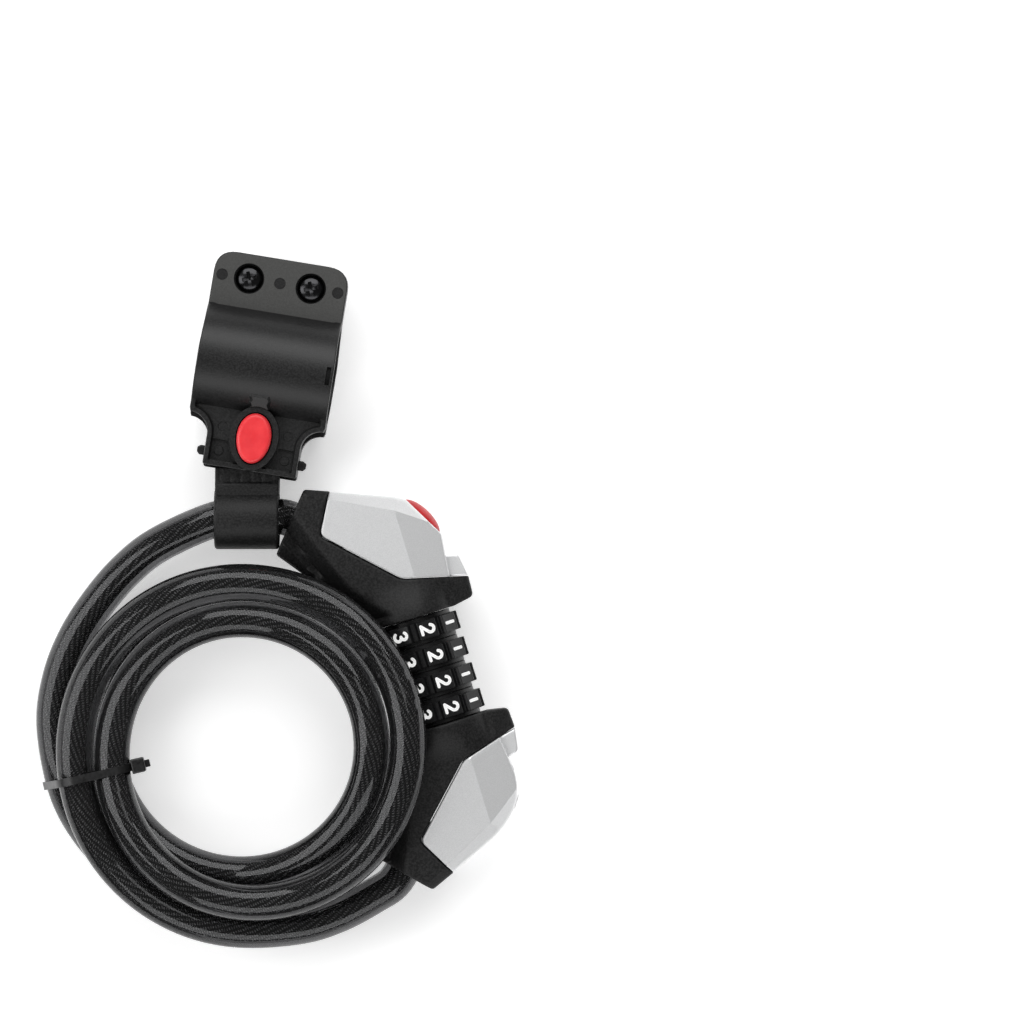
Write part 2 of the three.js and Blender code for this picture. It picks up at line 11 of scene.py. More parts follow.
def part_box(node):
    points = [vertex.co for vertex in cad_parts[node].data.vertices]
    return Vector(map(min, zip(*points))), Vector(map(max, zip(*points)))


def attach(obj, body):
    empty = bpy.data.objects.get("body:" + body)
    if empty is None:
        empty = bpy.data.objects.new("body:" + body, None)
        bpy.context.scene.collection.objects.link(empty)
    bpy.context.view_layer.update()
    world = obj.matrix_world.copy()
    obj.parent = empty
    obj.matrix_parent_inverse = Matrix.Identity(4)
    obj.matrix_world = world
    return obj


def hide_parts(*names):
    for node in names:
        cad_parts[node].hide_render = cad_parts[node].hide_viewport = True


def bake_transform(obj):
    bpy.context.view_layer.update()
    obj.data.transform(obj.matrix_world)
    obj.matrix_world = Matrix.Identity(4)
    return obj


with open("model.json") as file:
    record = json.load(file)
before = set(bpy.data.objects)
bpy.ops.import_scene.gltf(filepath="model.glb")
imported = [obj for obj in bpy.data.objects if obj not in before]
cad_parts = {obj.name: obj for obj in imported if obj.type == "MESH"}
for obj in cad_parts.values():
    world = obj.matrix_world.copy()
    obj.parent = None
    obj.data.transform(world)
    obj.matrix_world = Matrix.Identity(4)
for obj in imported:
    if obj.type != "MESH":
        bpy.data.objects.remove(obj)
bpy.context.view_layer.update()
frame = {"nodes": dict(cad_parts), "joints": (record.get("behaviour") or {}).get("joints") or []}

MM = 0.001
JOINTS = {joint["name"]: joint for joint in frame["joints"]}

# The photograph's framing, in metres: what the camera looks at, how wide it sees there, and its distance.
VIEW_CENTRE = (0.0506, 0.0190)
VIEW_WIDTH = 0.3328
VIEW_HEIGHT = 0.020
VIEW_DISTANCE = 2.4

# The cable, in millimetres: its nominal radius, and the drawn radii of its sheath and of the core inside.
CABLE_R = 6.0
SHEATH_R = 5.92
CORE_R = 2.6
# Blender's wave texture repeats every 0.31416 of its coordinate: one wire each 1.5 mm along, and 11 round.
WAVE_REPEAT = 0.31416
WIRES_ALONG = WAVE_REPEAT / 1.5
WIRES_ROUND = WAVE_REPEAT * 11
COIL = ((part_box("coil_front")[0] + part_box("coil_front")[1]) / 2) / MM


# -------- local frames, in millimetres
# HEAD: v across the dial stack, u along it. BRACKET: a along the seat post, b towards the flange.

def local_frame(origin, x_axis, y_axis):
    """Maps a part's own millimetres to the row frame's metres."""
    x, y = Vector(x_axis).normalized(), Vector(y_axis).normalized()
    z = x.cross(y)
    columns = [x * MM, y * MM, z * MM, Vector(origin)]
    return Matrix([[c[row] for c in columns] for row in range(3)] + [[0, 0, 0, 1]])


STACK = Vector(JOINTS["dial_1_turn"]["axis"])
HEAD_MIDDLE = sum((Vector(JOINTS[f"dial_{i}_turn"]["pos_m"]) for i in (1, 2, 3, 4)), Vector()) / 4
HEAD = local_frame(HEAD_MIDDLE, (STACK.y, -STACK.x, 0), STACK)

FLANGE_WAY = Vector(JOINTS["bracket_release"]["axis"])
SWIVEL_B = -29.0
POST_MIDDLE = Vector(JOINTS["bracket_swivel"]["pos_m"]) - FLANGE_WAY * SWIVEL_B * MM
BRACKET = local_frame(POST_MIDDLE, (FLANGE_WAY.y, -FLANGE_WAY.x, 0), FLANGE_WAY)

CLIP = local_frame(JOINTS["clip_turn"]["pos_m"], (1, 0, 0), (0, 1, 0))
ROW = Matrix.Diagonal((MM, MM, MM, 1))


# -------- meshes

def linked(name, data):
    """A new object in the scene."""
    obj = bpy.data.objects.new(name, data)
    bpy.context.scene.collection.objects.link(obj)
    return obj


def make_object(name, vertices, faces, frame_matrix, material, sharp=35):
    mesh = bpy.data.meshes.new(name)
    mesh.from_pydata([tuple(v) for v in vertices], [], [tuple(f) for f in faces])
    mesh.transform(frame_matrix)
    build = bmesh.new()
    build.from_mesh(mesh)
    bmesh.ops.recalc_face_normals(build, faces=build.faces)
    build.to_mesh(mesh)
    build.free()
    finish_mesh(mesh, material, sharp)
    return linked(name, mesh)


def finish_mesh(mesh, material, sharp=35):
    mesh.materials.clear()
    mesh.materials.append(material)
    mesh.shade_smooth()
    mesh.set_sharp_from_angle(angle=math.radians(sharp))


def settle(obj):
    """Applies an object's modifiers to its mesh."""
    graph = bpy.context.evaluated_depsgraph_get()
    mesh = bpy.data.meshes.new_from_object(obj.evaluated_get(graph))
    obj.modifiers.clear()
    obj.data = mesh


def combine(obj, operation, others, sharp=35):
    """Joins the other objects to this one, or cuts them out of it, and removes them."""
    for other in others:
        change = obj.modifiers.new("combine", "BOOLEAN")
        change.operation = operation
        change.solver = "EXACT"
        change.object = other
    settle(obj)
    for other in others:
        bpy.data.objects.remove(other)
    obj.data.set_sharp_from_angle(angle=math.radians(sharp))


def carve(obj, *cutters, sharp=35):
    combine(obj, "DIFFERENCE", cutters, sharp)


def grid_faces(rows, columns, closed=True):
    """Faces between rows of vertices. Each row is a ring, and with closed the last row meets the first."""
    faces = []
    for i in range(rows if closed else rows - 1):
        here, there = i * columns, (i + 1) % rows * columns
        for k in range(columns):
            after = (k + 1) % columns
            faces.append((here + k, here + after, there + after, there + k))
    return faces


def round_rod(name, start, end, radius, frame_matrix, material, sides=48, bevel=0.0):
    """A rod between two points, with its end edges rounded."""
    start, end = Vector(start), Vector(end)
    along = (end - start).normalized()
    side = along.orthogonal().normalized()
    other = along.cross(side)
    length = (end - start).length
    profile = [(0, radius - bevel)]
    if bevel:
        quarter = (math.pi / 6, math.pi / 3, math.pi / 2)
        profile += [(bevel * (1 - math.cos(t)), radius - bevel + bevel * math.sin(t)) for t in quarter]
    rings = profile + [(length - x, r) for x, r in reversed(profile)]
    vertices = []
    for x, r in rings:
        for i in range(sides):
            t = 2 * math.pi * i / sides
            vertices.append(start + along * x + side * r * math.cos(t) + other * r * math.sin(t))
    faces = grid_faces(len(rings), sides, closed=False)
    faces.append(tuple(range(sides)))
    faces.append(tuple(range(len(vertices) - sides, len(vertices))))
    return make_object(name, vertices, faces, frame_matrix, material)


def turned(name, profile, frame_matrix, material, sides=96):
    """A closed profile of (radius, height) turned round the local Z axis."""
    vertices = []
    for i in range(sides):
        t = 2 * math.pi * i / sides
        vertices += [(r * math.cos(t), r * math.sin(t), h) for r, h in profile]
    return make_object(name, vertices, grid_faces(sides, len(profile)), frame_matrix, material)


def joined(name, objects):
    with bpy.context.temp_override(active_object=objects[0], selected_editable_objects=objects):
        bpy.ops.object.join()
    objects[0].name = name
    return objects[0]


# -------- outlines and reliefs

def rounded(corners, step=0.7):
    """A closed outline through corners written (x, y) or (x, y, radius), as evenly spaced points."""
    path = []
    for i, corner in enumerate(corners):
        here = Vector(corner[:2])
        reach = corner[2] if len(corner) > 2 else 0
        before = Vector(corners[i - 1][:2]) - here
        after = Vector(corners[(i + 1) % len(corners)][:2]) - here
        start = here + before.normalized() * reach
        end = here + after.normalized() * reach
        bends = 8 if reach else 1
        for k in range(bends):
            t = k / (bends - 1) if bends > 1 else 0
            path.append(start * (1 - t) ** 2 + here * 2 * t * (1 - t) + end * t ** 2)
    points = []
    for a, b in zip(path, path[1:] + path[:1]):
        pieces = max(1, math.ceil((b - a).length / step - 1e-6))
        points += [a.lerp(b, k / pieces) for k in range(pieces)]
    kept = [p for i, p in enumerate(points) if (p - points[i - 1]).length > 0.02]
    return np.array(kept)


def rectangle(x0, x1, y0, y1, radii=(0, 0, 0, 0), step=0.7):
    """A rectangle's outline from its corner (x0, y0), through (x1, y0), with a radius for each corner."""
    corners = ((x0, y0), (x1, y0), (x1, y1), (x0, y1))
    return rounded([(*corner, radius) for corner, radius in zip(corners, radii)], step)


def oval(half_x, half_y, x=0.0, y=0.0, count=64):
    t = np.linspace(0, 2 * math.pi, count, endpoint=False)
    return np.stack([x + half_x * np.cos(t), y + half_y * np.sin(t)], axis=1)


def inside(points, loop):
    """Which points lie inside a closed loop."""
    x, y = points[:, 0][:, None], points[:, 1][:, None]
    a, b = loop, np.roll(loop, -1, axis=0)
    crosses = (a[:, 1] > y) != (b[:, 1] > y)
    rise = np.where(b[:, 1] == a[:, 1], 1e-12, b[:, 1] - a[:, 1])
    at = a[:, 0] + (y - a[:, 1]) * (b[:, 0] - a[:, 0]) / rise
    return (crosses & (x < at)).sum(axis=1) % 2 == 1


def distance(points, line, closed=True):
    """Each point's distance from a line of points."""
    a = line if closed else line[:-1]
    b = np.roll(line, -1, axis=0) if closed else line[1:]
    along = b - a
    size = np.maximum((along ** 2).sum(axis=1), 1e-12)
    nearest = np.full(len(points), np.inf)
    for begin in range(0, len(points), 2000):
        p = points[begin:begin + 2000, None, :]
        t = np.clip(((p - a) * along).sum(axis=2) / size, 0, 1)
        gap = np.linalg.norm(p - (a + t[..., None] * along), axis=2)
        nearest[begin:begin + 2000] = gap.min(axis=1)
    return nearest


def offset(loop, by):
    """A loop moved inward, for a positive amount, along its own normals."""
    ahead, behind = np.roll(loop, -1, axis=0), np.roll(loop, 1, axis=0)
    tangent = ahead - behind
    tangent /= np.linalg.norm(tangent, axis=1)[:, None]
    area = (loop[:, 0] * ahead[:, 1] - ahead[:, 0] * loop[:, 1]).sum()
    normal = np.stack([-tangent[:, 1], tangent[:, 0]], axis=1) * (1 if area > 0 else -1)
    return loop + normal * by


def split_line(start, end, step):
    pieces = max(1, math.ceil(math.dist(start, end) / step))
    t = np.linspace(0, 1, pieces + 1)[:, None]
    return np.array(start) * (1 - t) + np.array(end) * t


# A relief's step walls are this wide to each side, and its mesh has rings this far in from the outline.
WALL = 0.06
EDGE_STEPS = (0.1, 0.3, 0.6, 1.0, 1.5, 2.1)


def relief(
    name, outline, height, frame_matrix, material, loops=(), creases=(), floor=None, spacing=1.1, sharp=32,
):
    """A closed solid over an outline. height(x, y, d) gives its top, where d is the distance from the
    outline, and floor its flat bottom, or None for a bottom that mirrors the top. Each loop is a step in
    the height, which gets a steep wall, and each crease is a line that the mesh keeps as an edge."""
    sheets = [outline]
    for step in EDGE_STEPS:
        ring = offset(outline, step)
        keep = inside(ring, outline) & (distance(ring, outline) > step * 0.97)
        sheets.append(ring[keep])
    low, high = outline.min(axis=0), outline.max(axis=0)
    across = np.arange(low[0], high[0], spacing)
    grid = np.stack(np.meshgrid(across, np.arange(low[1], high[1], spacing)), axis=-1).reshape(-1, 2)
    grid[:, 0] += (np.round(grid[:, 1] / spacing) % 2) * spacing / 2
    grid = grid[inside(grid, outline)]
    sheets.append(grid[distance(grid, outline) > EDGE_STEPS[-1] + 0.4])
    walls = [offset(loop, way) for loop in loops for way in (WALL, -WALL)]
    loose = np.concatenate(sheets[1:])
    for loop in loops:
        loose = loose[distance(loose, loop) > 4 * WALL]
    ridges = [split_line(a, b, 0.7) for a, b in creases]
    ridges = [ridge[inside(ridge, outline) & (distance(ridge, outline) > 0.05)] for ridge in ridges]
    for ridge in ridges:
        loose = loose[distance(loose, ridge, closed=False) > 0.35]
    points, edges = [outline, *walls, *ridges, loose], []
    start = 0
    for ring in [outline, *walls]:
        count = len(ring)
        edges += [(start + i, start + (i + 1) % count) for i in range(count)]
        start += count
    for ridge in ridges:
        edges += [(start + i, start + i + 1) for i in range(len(ridge) - 1)]
        start += len(ridge)
    flat = np.concatenate(points)
    made = delaunay_2d_cdt([Vector(p) for p in flat], edges, [], 1, 1e-5)
    at, triangles = np.array([tuple(v) for v in made[0]]), made[2]
    centres = np.array([at[list(t)].mean(axis=0) for t in triangles])
    triangles = [t for t, ok in zip(triangles, inside(centres, outline)) if ok]
    top = height(at[:, 0], at[:, 1], distance(at, outline))
    bottom = -top if floor is None else np.full(len(at), float(floor))
    count = len(at)
    vertices = [(*p, z) for p, z in zip(at, top)] + [(*p, z) for p, z in zip(at, bottom)]
    faces = list(triangles) + [tuple(count + i for i in reversed(t)) for t in triangles]
    uses = dict.fromkeys((a, b) for t in triangles for a, b in zip(t, (*t[1:], t[0])))
    faces += [(b, a, a + count, b + count) for a, b in uses if (b, a) not in uses]
    used = sorted({i for face in faces for i in face})
    renumber = {old: new for new, old in enumerate(used)}
    faces = [tuple(renumber[i] for i in face) for face in faces]
    return make_object(name, [vertices[i] for i in used], faces, frame_matrix, material, sharp)


def eased(z, d, radius):
    """A height whose outer edge is rounded off."""
    inner = np.clip(radius - d, 0, radius)
    return z - radius + np.sqrt(np.maximum(radius ** 2 - inner ** 2, 0))


def level(z, radius=0.0):
    """A relief's height function for a flat top, with its outer edge rounded off."""
    return lambda x, y, d: eased(np.full_like(x, z), d, radius)


def smooth(x, low, high):
    t = np.clip((x - low) / (high - low), 0, 1)
    return t * t * (3 - 2 * t)


def softly_lower(a, b, blend):
    """The lower of two heights, with the crease between them softened."""
    h = np.clip(0.5 + 0.5 * (b - a) / blend, 0, 1)
    return b * (1 - h) + a * h - blend * h * (1 - h)


# -------- materials

def new_material(name):
    """A material with its node tree and its shader."""
    material = bpy.data.materials.new(name)
    material.use_nodes = True
    return material, material.node_tree, material.node_tree.nodes["Principled BSDF"]


def adjust(node, settings):
    """Sets a node's own values, by the names of its sockets."""
    for name, value in settings.items():
        node.inputs[name].default_value = value


def object_noise(tree, scale, detail=2.0, rough=0.5):
    coordinates = tree.nodes.new("ShaderNodeTexCoord")
    noise = tree.nodes.new("ShaderNodeTexNoise")
    adjust(noise, {"Scale": scale, "Detail": detail, "Roughness": rough})
    tree.links.new(coordinates.outputs["Object"], noise.inputs["Vector"])
    return noise.outputs["Fac"]


def ramp(tree, source, low, high, from_value=0, to_value=1):
    spread = tree.nodes.new("ShaderNodeMapRange")
    adjust(spread, {"From Min": low, "From Max": high, "To Min": from_value, "To Max": to_value})
    tree.links.new(source, spread.inputs["Value"])
    return spread.outputs["Result"]


def feed(tree, name, value):
    """Links a varying value to one of the shader's sockets."""
    tree.links.new(value, tree.nodes["Principled BSDF"].inputs[name])


def blend_colour(tree, factor, dark, light):
    mix = tree.nodes.new("ShaderNodeMix")
    mix.data_type = "RGBA"
    adjust(mix, {"A": (*dark, 1), "B": (*light, 1)})
    tree.links.new(factor, mix.inputs["Factor"])
    feed(tree, "Base Color", mix.outputs["Result"])


def bump(tree, height, strength, reach):
    node = tree.nodes.new("ShaderNodeBump")
    adjust(node, {"Strength": strength, "Distance": reach})
    tree.links.new(height, node.inputs["Height"])
    feed(tree, "Normal", node.outputs["Normal"])


def moulded_plastic(name, dark, light, roughness, grain=2300, depth=0.5, gloss=0.5):
    """Moulded plastic with a fine spark-eroded grain."""
    material, tree, shader = new_material(name)
    fine = object_noise(tree, grain, 3, 0.7)
    blend_colour(tree, ramp(tree, fine, 0.42, 0.60), dark, light)
    shader.inputs["Specular IOR Level"].default_value = gloss
    feed(tree, "Roughness", ramp(tree, fine, 0.3, 0.7, roughness - 0.07, roughness + 0.09))
    bump(tree, fine, depth, 0.0001)
    return material


def silver_paint():
    """Satin silver paint: fine metal flake over a light base, which sparkles a little."""
    material, tree, shader = new_material("silver_paint")
    flake = object_noise(tree, 4200, 2, 0.8)
    blend_colour(tree, ramp(tree, flake, 0.38, 0.62), (0.80, 0.805, 0.81), (0.91, 0.915, 0.92))
    shader.inputs["Metallic"].default_value = 0.56
    feed(tree, "Roughness", ramp(tree, flake, 0.3, 0.7, 0.32, 0.44))
    bump(tree, flake, 0.22, 0.00003)
    return material


def red_plastic(name, dark, light):
    """Smooth red plastic that lets a little light in."""
    material, tree, shader = new_material(name)
    broad = object_noise(tree, 160, 3, 0.6)
    fine = object_noise(tree, 2400, 2, 0.6)
    blend_colour(tree, ramp(tree, broad, 0.35, 0.65), dark, light)
    feed(tree, "Roughness", ramp(tree, fine, 0.3, 0.7, 0.30, 0.42))
    adjust(shader, {
        "Subsurface Weight": 0.08, "Subsurface Radius": (0.002, 0.0006, 0.0005), "Subsurface Scale": 0.5,
    })
    bump(tree, fine, 0.12, 0.00004)
    return material


def metal(name, dark, light, roughness, scratch=900):
    material, tree, shader = new_material(name)
    fine = object_noise(tree, scratch, 4, 0.7)
    blend_colour(tree, ramp(tree, fine, 0.3, 0.7), dark, light)
    shader.inputs["Metallic"].default_value = 1.0
    feed(tree, "Roughness", ramp(tree, fine, 0.3, 0.7, roughness - 0.05, roughness + 0.08))
    bump(tree, fine, 0.1, 0.00004)
    return material


def wire_wave(tree, coordinate):
    wires = tree.nodes.new("ShaderNodeTexWave")
    adjust(wires, {"Scale": 1.0, "Distortion": 0.5, "Detail": 1.0})
    tree.links.new(coordinate, wires.inputs["Vector"])
    return wires.outputs["Fac"]


def cable_core():
    """Twisted steel wires that cross in two directions. The UV map's x is the wave coordinate of one
    direction and its y the distance along the cable in millimetres. The dot product makes the other's."""
    material, tree, shader = new_material("cable_core")
    uv = tree.nodes.new("ShaderNodeUVMap").outputs["UV"]
    mirrored_way = tree.nodes.new("ShaderNodeVectorMath")
    mirrored_way.operation = "DOT_PRODUCT"
    mirrored_way.inputs[1].default_value = (-1, 2 * WIRES_ALONG, 0)
    tree.links.new(uv, mirrored_way.inputs[0])
    crossed = tree.nodes.new("ShaderNodeMath")
    crossed.operation = "MULTIPLY"
    tree.links.new(wire_wave(tree, uv), crossed.inputs[0])
    tree.links.new(wire_wave(tree, mirrored_way.outputs["Value"]), crossed.inputs[1])
    hatch = ramp(tree, crossed.outputs["Value"], 0.12, 0.75)
    blend_colour(tree, hatch, (0.005, 0.005, 0.0055), (0.98, 0.98, 0.98))
    shader.inputs["Metallic"].default_value = 0.5
    feed(tree, "Roughness", ramp(tree, hatch, 0, 1, 0.5, 0.32))
    bump(tree, hatch, 0.6, 0.0002)
    return material


def cable_sheath():
    """Smoky, glossy PVC that the core shows through."""
    material, tree, shader = new_material("cable_sheath")
    haze = object_noise(tree, 60, 3, 0.6)
    blend_colour(tree, ramp(tree, haze, 0.35, 0.7), (0.085, 0.085, 0.087), (0.115, 0.115, 0.118))
    adjust(shader, {"Transmission Weight": 0.93, "IOR": 1.42, "Specular Tint": (0.98, 0.985, 1, 1)})
    feed(tree, "Roughness", ramp(tree, haze, 0.3, 0.7, 0.035, 0.065))
    bump(tree, haze, 0.05, 0.0002)
    return material


def painted_white():
    """The digits' paint, with a little light of its own so that it stays clear on tilted pads."""
    material = moulded_plastic("digit_white", (0.86, 0.86, 0.86), (0.92, 0.92, 0.91), 0.45, 1800, 0.1)
    shader = material.node_tree.nodes["Principled BSDF"]
    adjust(shader, {"Emission Color": (1, 1, 1, 1), "Emission Strength": 0.22})
    return material


BLACK = moulded_plastic(
    "black_plastic", (0.0030, 0.0030, 0.0031), (0.0180, 0.0180, 0.0182), 0.50, 1700, 0.6, 0.28,
)
CLAMP_BLACK = moulded_plastic(
    "clamp_plastic", (0.0042, 0.0042, 0.0043), (0.0130, 0.0130, 0.0133), 0.40, 2000, 0.3, 0.42,
)
# A lighter copy of the clamp's black plastic: a painted highlight for the light on the flange's up-facing
# face.
FLANGE_LIT_GREY = moulded_plastic(
    "flange_lit_plastic", (0.044, 0.044, 0.042), (0.056, 0.056, 0.054), 0.48, depth=0.25,
)
DIAL_BLACK = moulded_plastic(
    "dial_plastic", (0.0060, 0.0060, 0.0064), (0.0100, 0.0100, 0.0106), 0.34, 1500, 0.2, 0.3,
)
TIE_NYLON = moulded_plastic(
    "tie_nylon", (0.0060, 0.0060, 0.0062), (0.0100, 0.0100, 0.0103), 0.33, 700, 0.15,
)
RUBBER = moulded_plastic("rubber", (0.014, 0.014, 0.014), (0.022, 0.022, 0.022), 0.72, 1400)
DIGIT_WHITE = painted_white()
SILVER = silver_paint()
RED = red_plastic("red_plastic", (0.80, 0.030, 0.040), (0.90, 0.050, 0.058))
DEEP_RED = red_plastic("deep_red_plastic", (0.56, 0.012, 0.016), (0.66, 0.020, 0.024))
STEEL = metal("steel", (0.40, 0.41, 0.42), (0.60, 0.61, 0.62), 0.32)
BLACK_STEEL = metal("black_steel", (0.030, 0.030, 0.031), (0.050, 0.050, 0.053), 0.17, 300)
CORE = cable_core()
SHEATH = cable_sheath()


def fitted(obj, body, *stands_for):
    """Ties a finished piece to its body, and hides the CAD nodes that it stands for."""
    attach(obj, body)
    if stands_for:
        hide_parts(*stands_for)
    return obj


# -------- stage: camera, floor and light

LOCK_MIDDLE = (-0.01, 0.0, 0.02)
FLOOR_REACH = 6.0


def add_camera():
    camera = bpy.data.cameras.new("camera")
    camera.sensor_width = 36
    camera.lens = camera.sensor_width * VIEW_DISTANCE / VIEW_WIDTH
    camera.clip_end = 20
    obj = linked("camera", camera)
    obj.location = (*VIEW_CENTRE, VIEW_HEIGHT + VIEW_DISTANCE)
    bpy.context.scene.camera = obj


def add_area(name, place, width, height, power):
    """A softbox that faces the lock."""
    light = bpy.data.lights.new(name, "AREA")
    light.shape = "RECTANGLE"
    light.size = width
    light.size_y = height
    light.energy = power
    obj = linked(name, light)
    obj.location = place
    obj.rotation_euler = (Vector(LOCK_MIDDLE) - Vector(place)).to_track_quat("-Z", "Y").to_euler()


def add_stage():
    mesh = bpy.data.meshes.new("floor")
    ends = ((-1, -1), (1, -1), (1, 1), (-1, 1))
    mesh.from_pydata([(x * FLOOR_REACH, y * FLOOR_REACH, 0) for x, y in ends], [], [(0, 1, 2, 3)])
    material, _, shader = new_material("floor")
    adjust(shader, {
        "Base Color": (0.92, 0.92, 0.92, 1), "Roughness": 0.9, "Specular IOR Level": 0.1,
        "Emission Color": (1, 1, 1, 1), "Emission Strength": 0.42,
    })
    mesh.materials.append(material)
    floor = linked("floor", mesh)
    world = bpy.data.worlds.new("world")
    world.use_nodes = True
    adjust(world.node_tree.nodes["Background"], {"Color": (1, 1, 1, 1), "Strength": 0.14})
    bpy.context.scene.world = world
    bpy.context.scene.view_settings.view_transform = "Standard"
    add_area("softbox_far", (0.0, 1.05, 1.05), 1.6, 0.95, 15)
    add_area("softbox_near", (0.0, -1.10, 0.95), 1.6, 0.80, 8.8)
    add_area("softbox_left", (-1.15, 0.0, 0.95), 0.80, 1.3, 9.6)
    add_area("softbox_high", (0.50, 0.42, 1.80), 0.5, 0.5, 1.3)


add_camera()
add_stage()


# -------- the cable

# Where the tie crosses the coil, in degrees round it, and how far apart the points along the strands are.
TIE_TURN = 193
STEP_DEGREES = 15

# Radius and height of the cable's middle at each quarter turn, clockwise from the coil's lowest point in
# the view, starting with the strand that comes from the lower body.
QUARTERS = [
    (61.6, 16.2), (54.8, 20.9), (51.8, 28.4), (54.0, 36.0),
    (52.0, 27.8), (42.4, 20.2), (39.7, 27.2), (42.1, 34.4),
    (43.5, 15.8), (45.0, 7.4), (43.0, 14.2), (42.0, 20.2),
    (52.5, 7.0), (61.4, 7.15),
]


def around(degrees, radius, z):
    t = math.radians(degrees)
    return Vector((COIL[0] + radius * math.cos(t), COIL[1] + radius * math.sin(t), z))


def catmull(points, step):
    """A smooth line through points, as points a fixed step apart."""
    ends = [points[0] * 2 - points[1], *points, points[-1] * 2 - points[-2]]
    fine = []
    for p0, p1, p2, p3 in zip(ends, ends[1:], ends[2:], ends[3:]):
        pieces = 24
        for k in range(pieces):
            t = k / pieces
            fine.append(0.5 * (
                p1 * 2 + (p2 - p0) * t + (p0 * 2 - p1 * 5 + p2 * 4 - p3) * t * t
                + (p1 * 3 - p0 - p2 * 3 + p3) * t ** 3
            ))
    fine.append(points[-1])
    line = np.array([tuple(p) for p in fine])
    along = np.concatenate([[0], np.cumsum(np.linalg.norm(np.diff(line, axis=0), axis=1))])
    at = np.linspace(0, along[-1], int(round(along[-1] / step)) + 1)
    return np.stack([np.interp(at, along, line[:, k]) for k in range(3)], axis=1)


def quarter_values(turned_by):
    """Radius and height at this many degrees clockwise from the first quarter, on smooth curves."""
    at = turned_by / 90
    i = min(int(at), len(QUARTERS) - 2)
    t = at - i
    rows = [QUARTERS[max(0, min(len(QUARTERS) - 1, i + k))] for k in (-1, 0, 1, 2)]
    values = []
    for p0, p1, p2, p3 in zip(*rows):
        m1, m2 = (p2 - p0) / 2, (p3 - p1) / 2
        values.append(
            (2 * t ** 3 - 3 * t ** 2 + 1) * p1 + (t ** 3 - 2 * t ** 2 + t) * m1
            + (3 * t ** 2 - 2 * t ** 3) * p2 + (t ** 3 - t ** 2) * m2
        )
    return values


def exit_point(side, beyond):
    """A point on the cable's line out of a lock body, this far beyond the body's end."""
    return HEAD @ Vector((-27 - 0.727 * beyond, side * (59.5 + 0.687 * beyond), 0)) / MM


def coil_point(turned_by):
    radius, z = quarter_values(turned_by)
    return around(270 - turned_by, radius, z)


def coil_angles(line):
    """Each point's direction from the coil's middle, in degrees."""
    return np.degrees(np.arctan2(line[:, 1] - COIL[1], line[:, 0] - COIL[0])) % 360


def cable_lines():
    """The middle line of the tail, from the lower body to the tie, and of the rest of the cable."""
    tail = [
        exit_point(-1, -5), exit_point(-1, 4), around(311, 66.2, 15.6), around(299, 64.6, 15.5),
        around(287, 63.2, 15.4),
    ]
    turns = [coil_point(t) for t in range(0, 13 * 90 - 14, STEP_DEGREES)]
    clip = Vector(JOINTS["clip_turn"]["pos_m"]) / MM
    loose = [
        around(176, 62.2, 7.4), around(162, 63.4, 8.0), around(149, 64.3, 9.2), around(136, 65.5, 11.2),
        around(124, 67.6, 13.6), around(113, 69.6, 15.8), clip + Vector((-11, -0.5, -0.4)),
        clip + Vector((0, 0.6, -0.1)), clip + Vector((7.5, 0.7, -0.6)), exit_point(1, 2), exit_point(1, -5),
    ]
    line = catmull(tail + turns + loose, 1.0)
    angles = coil_angles(line)
    cut = next(i for i in range(60, len(line)) if angles[i] < TIE_TURN)
    return line[:cut + 1], line[cut:]


def tube_frames(line):
    """Points with two side directions each, turning as little as they can along the line."""
    ahead = np.gradient(line, axis=0)
    ahead /= np.linalg.norm(ahead, axis=1)[:, None]
    side = np.cross(ahead[0], (0, 0, 1.0))
    sides = []
    for a in ahead:
        side = side - a * (side @ a)
        side /= np.linalg.norm(side)
        sides.append(side)
    sides = np.array(sides)
    return sides, np.cross(ahead, sides)


def sweep(name, line, radius_at, sides, material, twist=0.0, uv_scale=None):
    """A closed tube along a line of millimetre points. radius_at(angle) shapes its section, which turns
    by twist radians per millimetre."""
    across, up = tube_frames(line)
    angles = np.linspace(0, 2 * math.pi, sides, endpoint=False)
    radii = np.array([radius_at(t) for t in angles])
    along = np.concatenate([[0], np.cumsum(np.linalg.norm(np.diff(line, axis=0), axis=1))])
    turned_angles = angles[None, :] + along[:, None] * twist
    points = (
        line[:, None, :]
        + (radii * np.cos(turned_angles))[..., None] * across[:, None, :]
        + (radii * np.sin(turned_angles))[..., None] * up[:, None, :]
    )
    vertices = points.reshape(-1, 3)
    faces = grid_faces(len(line), sides, closed=False)
    faces.append(tuple(reversed(range(sides))))
    faces.append(tuple(range(len(vertices) - sides, len(vertices))))
    mesh = bpy.data.meshes.new(name)
    mesh.from_pydata([tuple(v) for v in vertices], [], faces)
    if uv_scale:
        layer = mesh.uv_layers.new(name="UVMap")
        loop = np.zeros(len(mesh.loops), dtype=np.int32)
        mesh.loops.foreach_get("vertex_index", loop)
        u = along[loop // sides] * uv_scale[0] + (loop % sides) * uv_scale[1] / sides
        layer.data.foreach_set("uv", np.stack([u, along[loop // sides]], axis=1).ravel())
    mesh.transform(ROW)
    finish_mesh(mesh, material)
    return linked(name, mesh)


# The core's strands, and how many millimetres they take for one turn round it.
STRANDS = 16
LAY_LENGTH = 25.0


def strand_radius(angle):
    """The core's outline: a ring of round strands."""
    lobe = (angle * STRANDS / (2 * math.pi)) % 1 - 0.5
    strand = CORE_R * math.sin(math.pi / STRANDS)
    return CORE_R * (1 - math.sin(math.pi / STRANDS)) + strand * math.sqrt(max(0, 1 - (2 * lobe) ** 2) + 0.02)


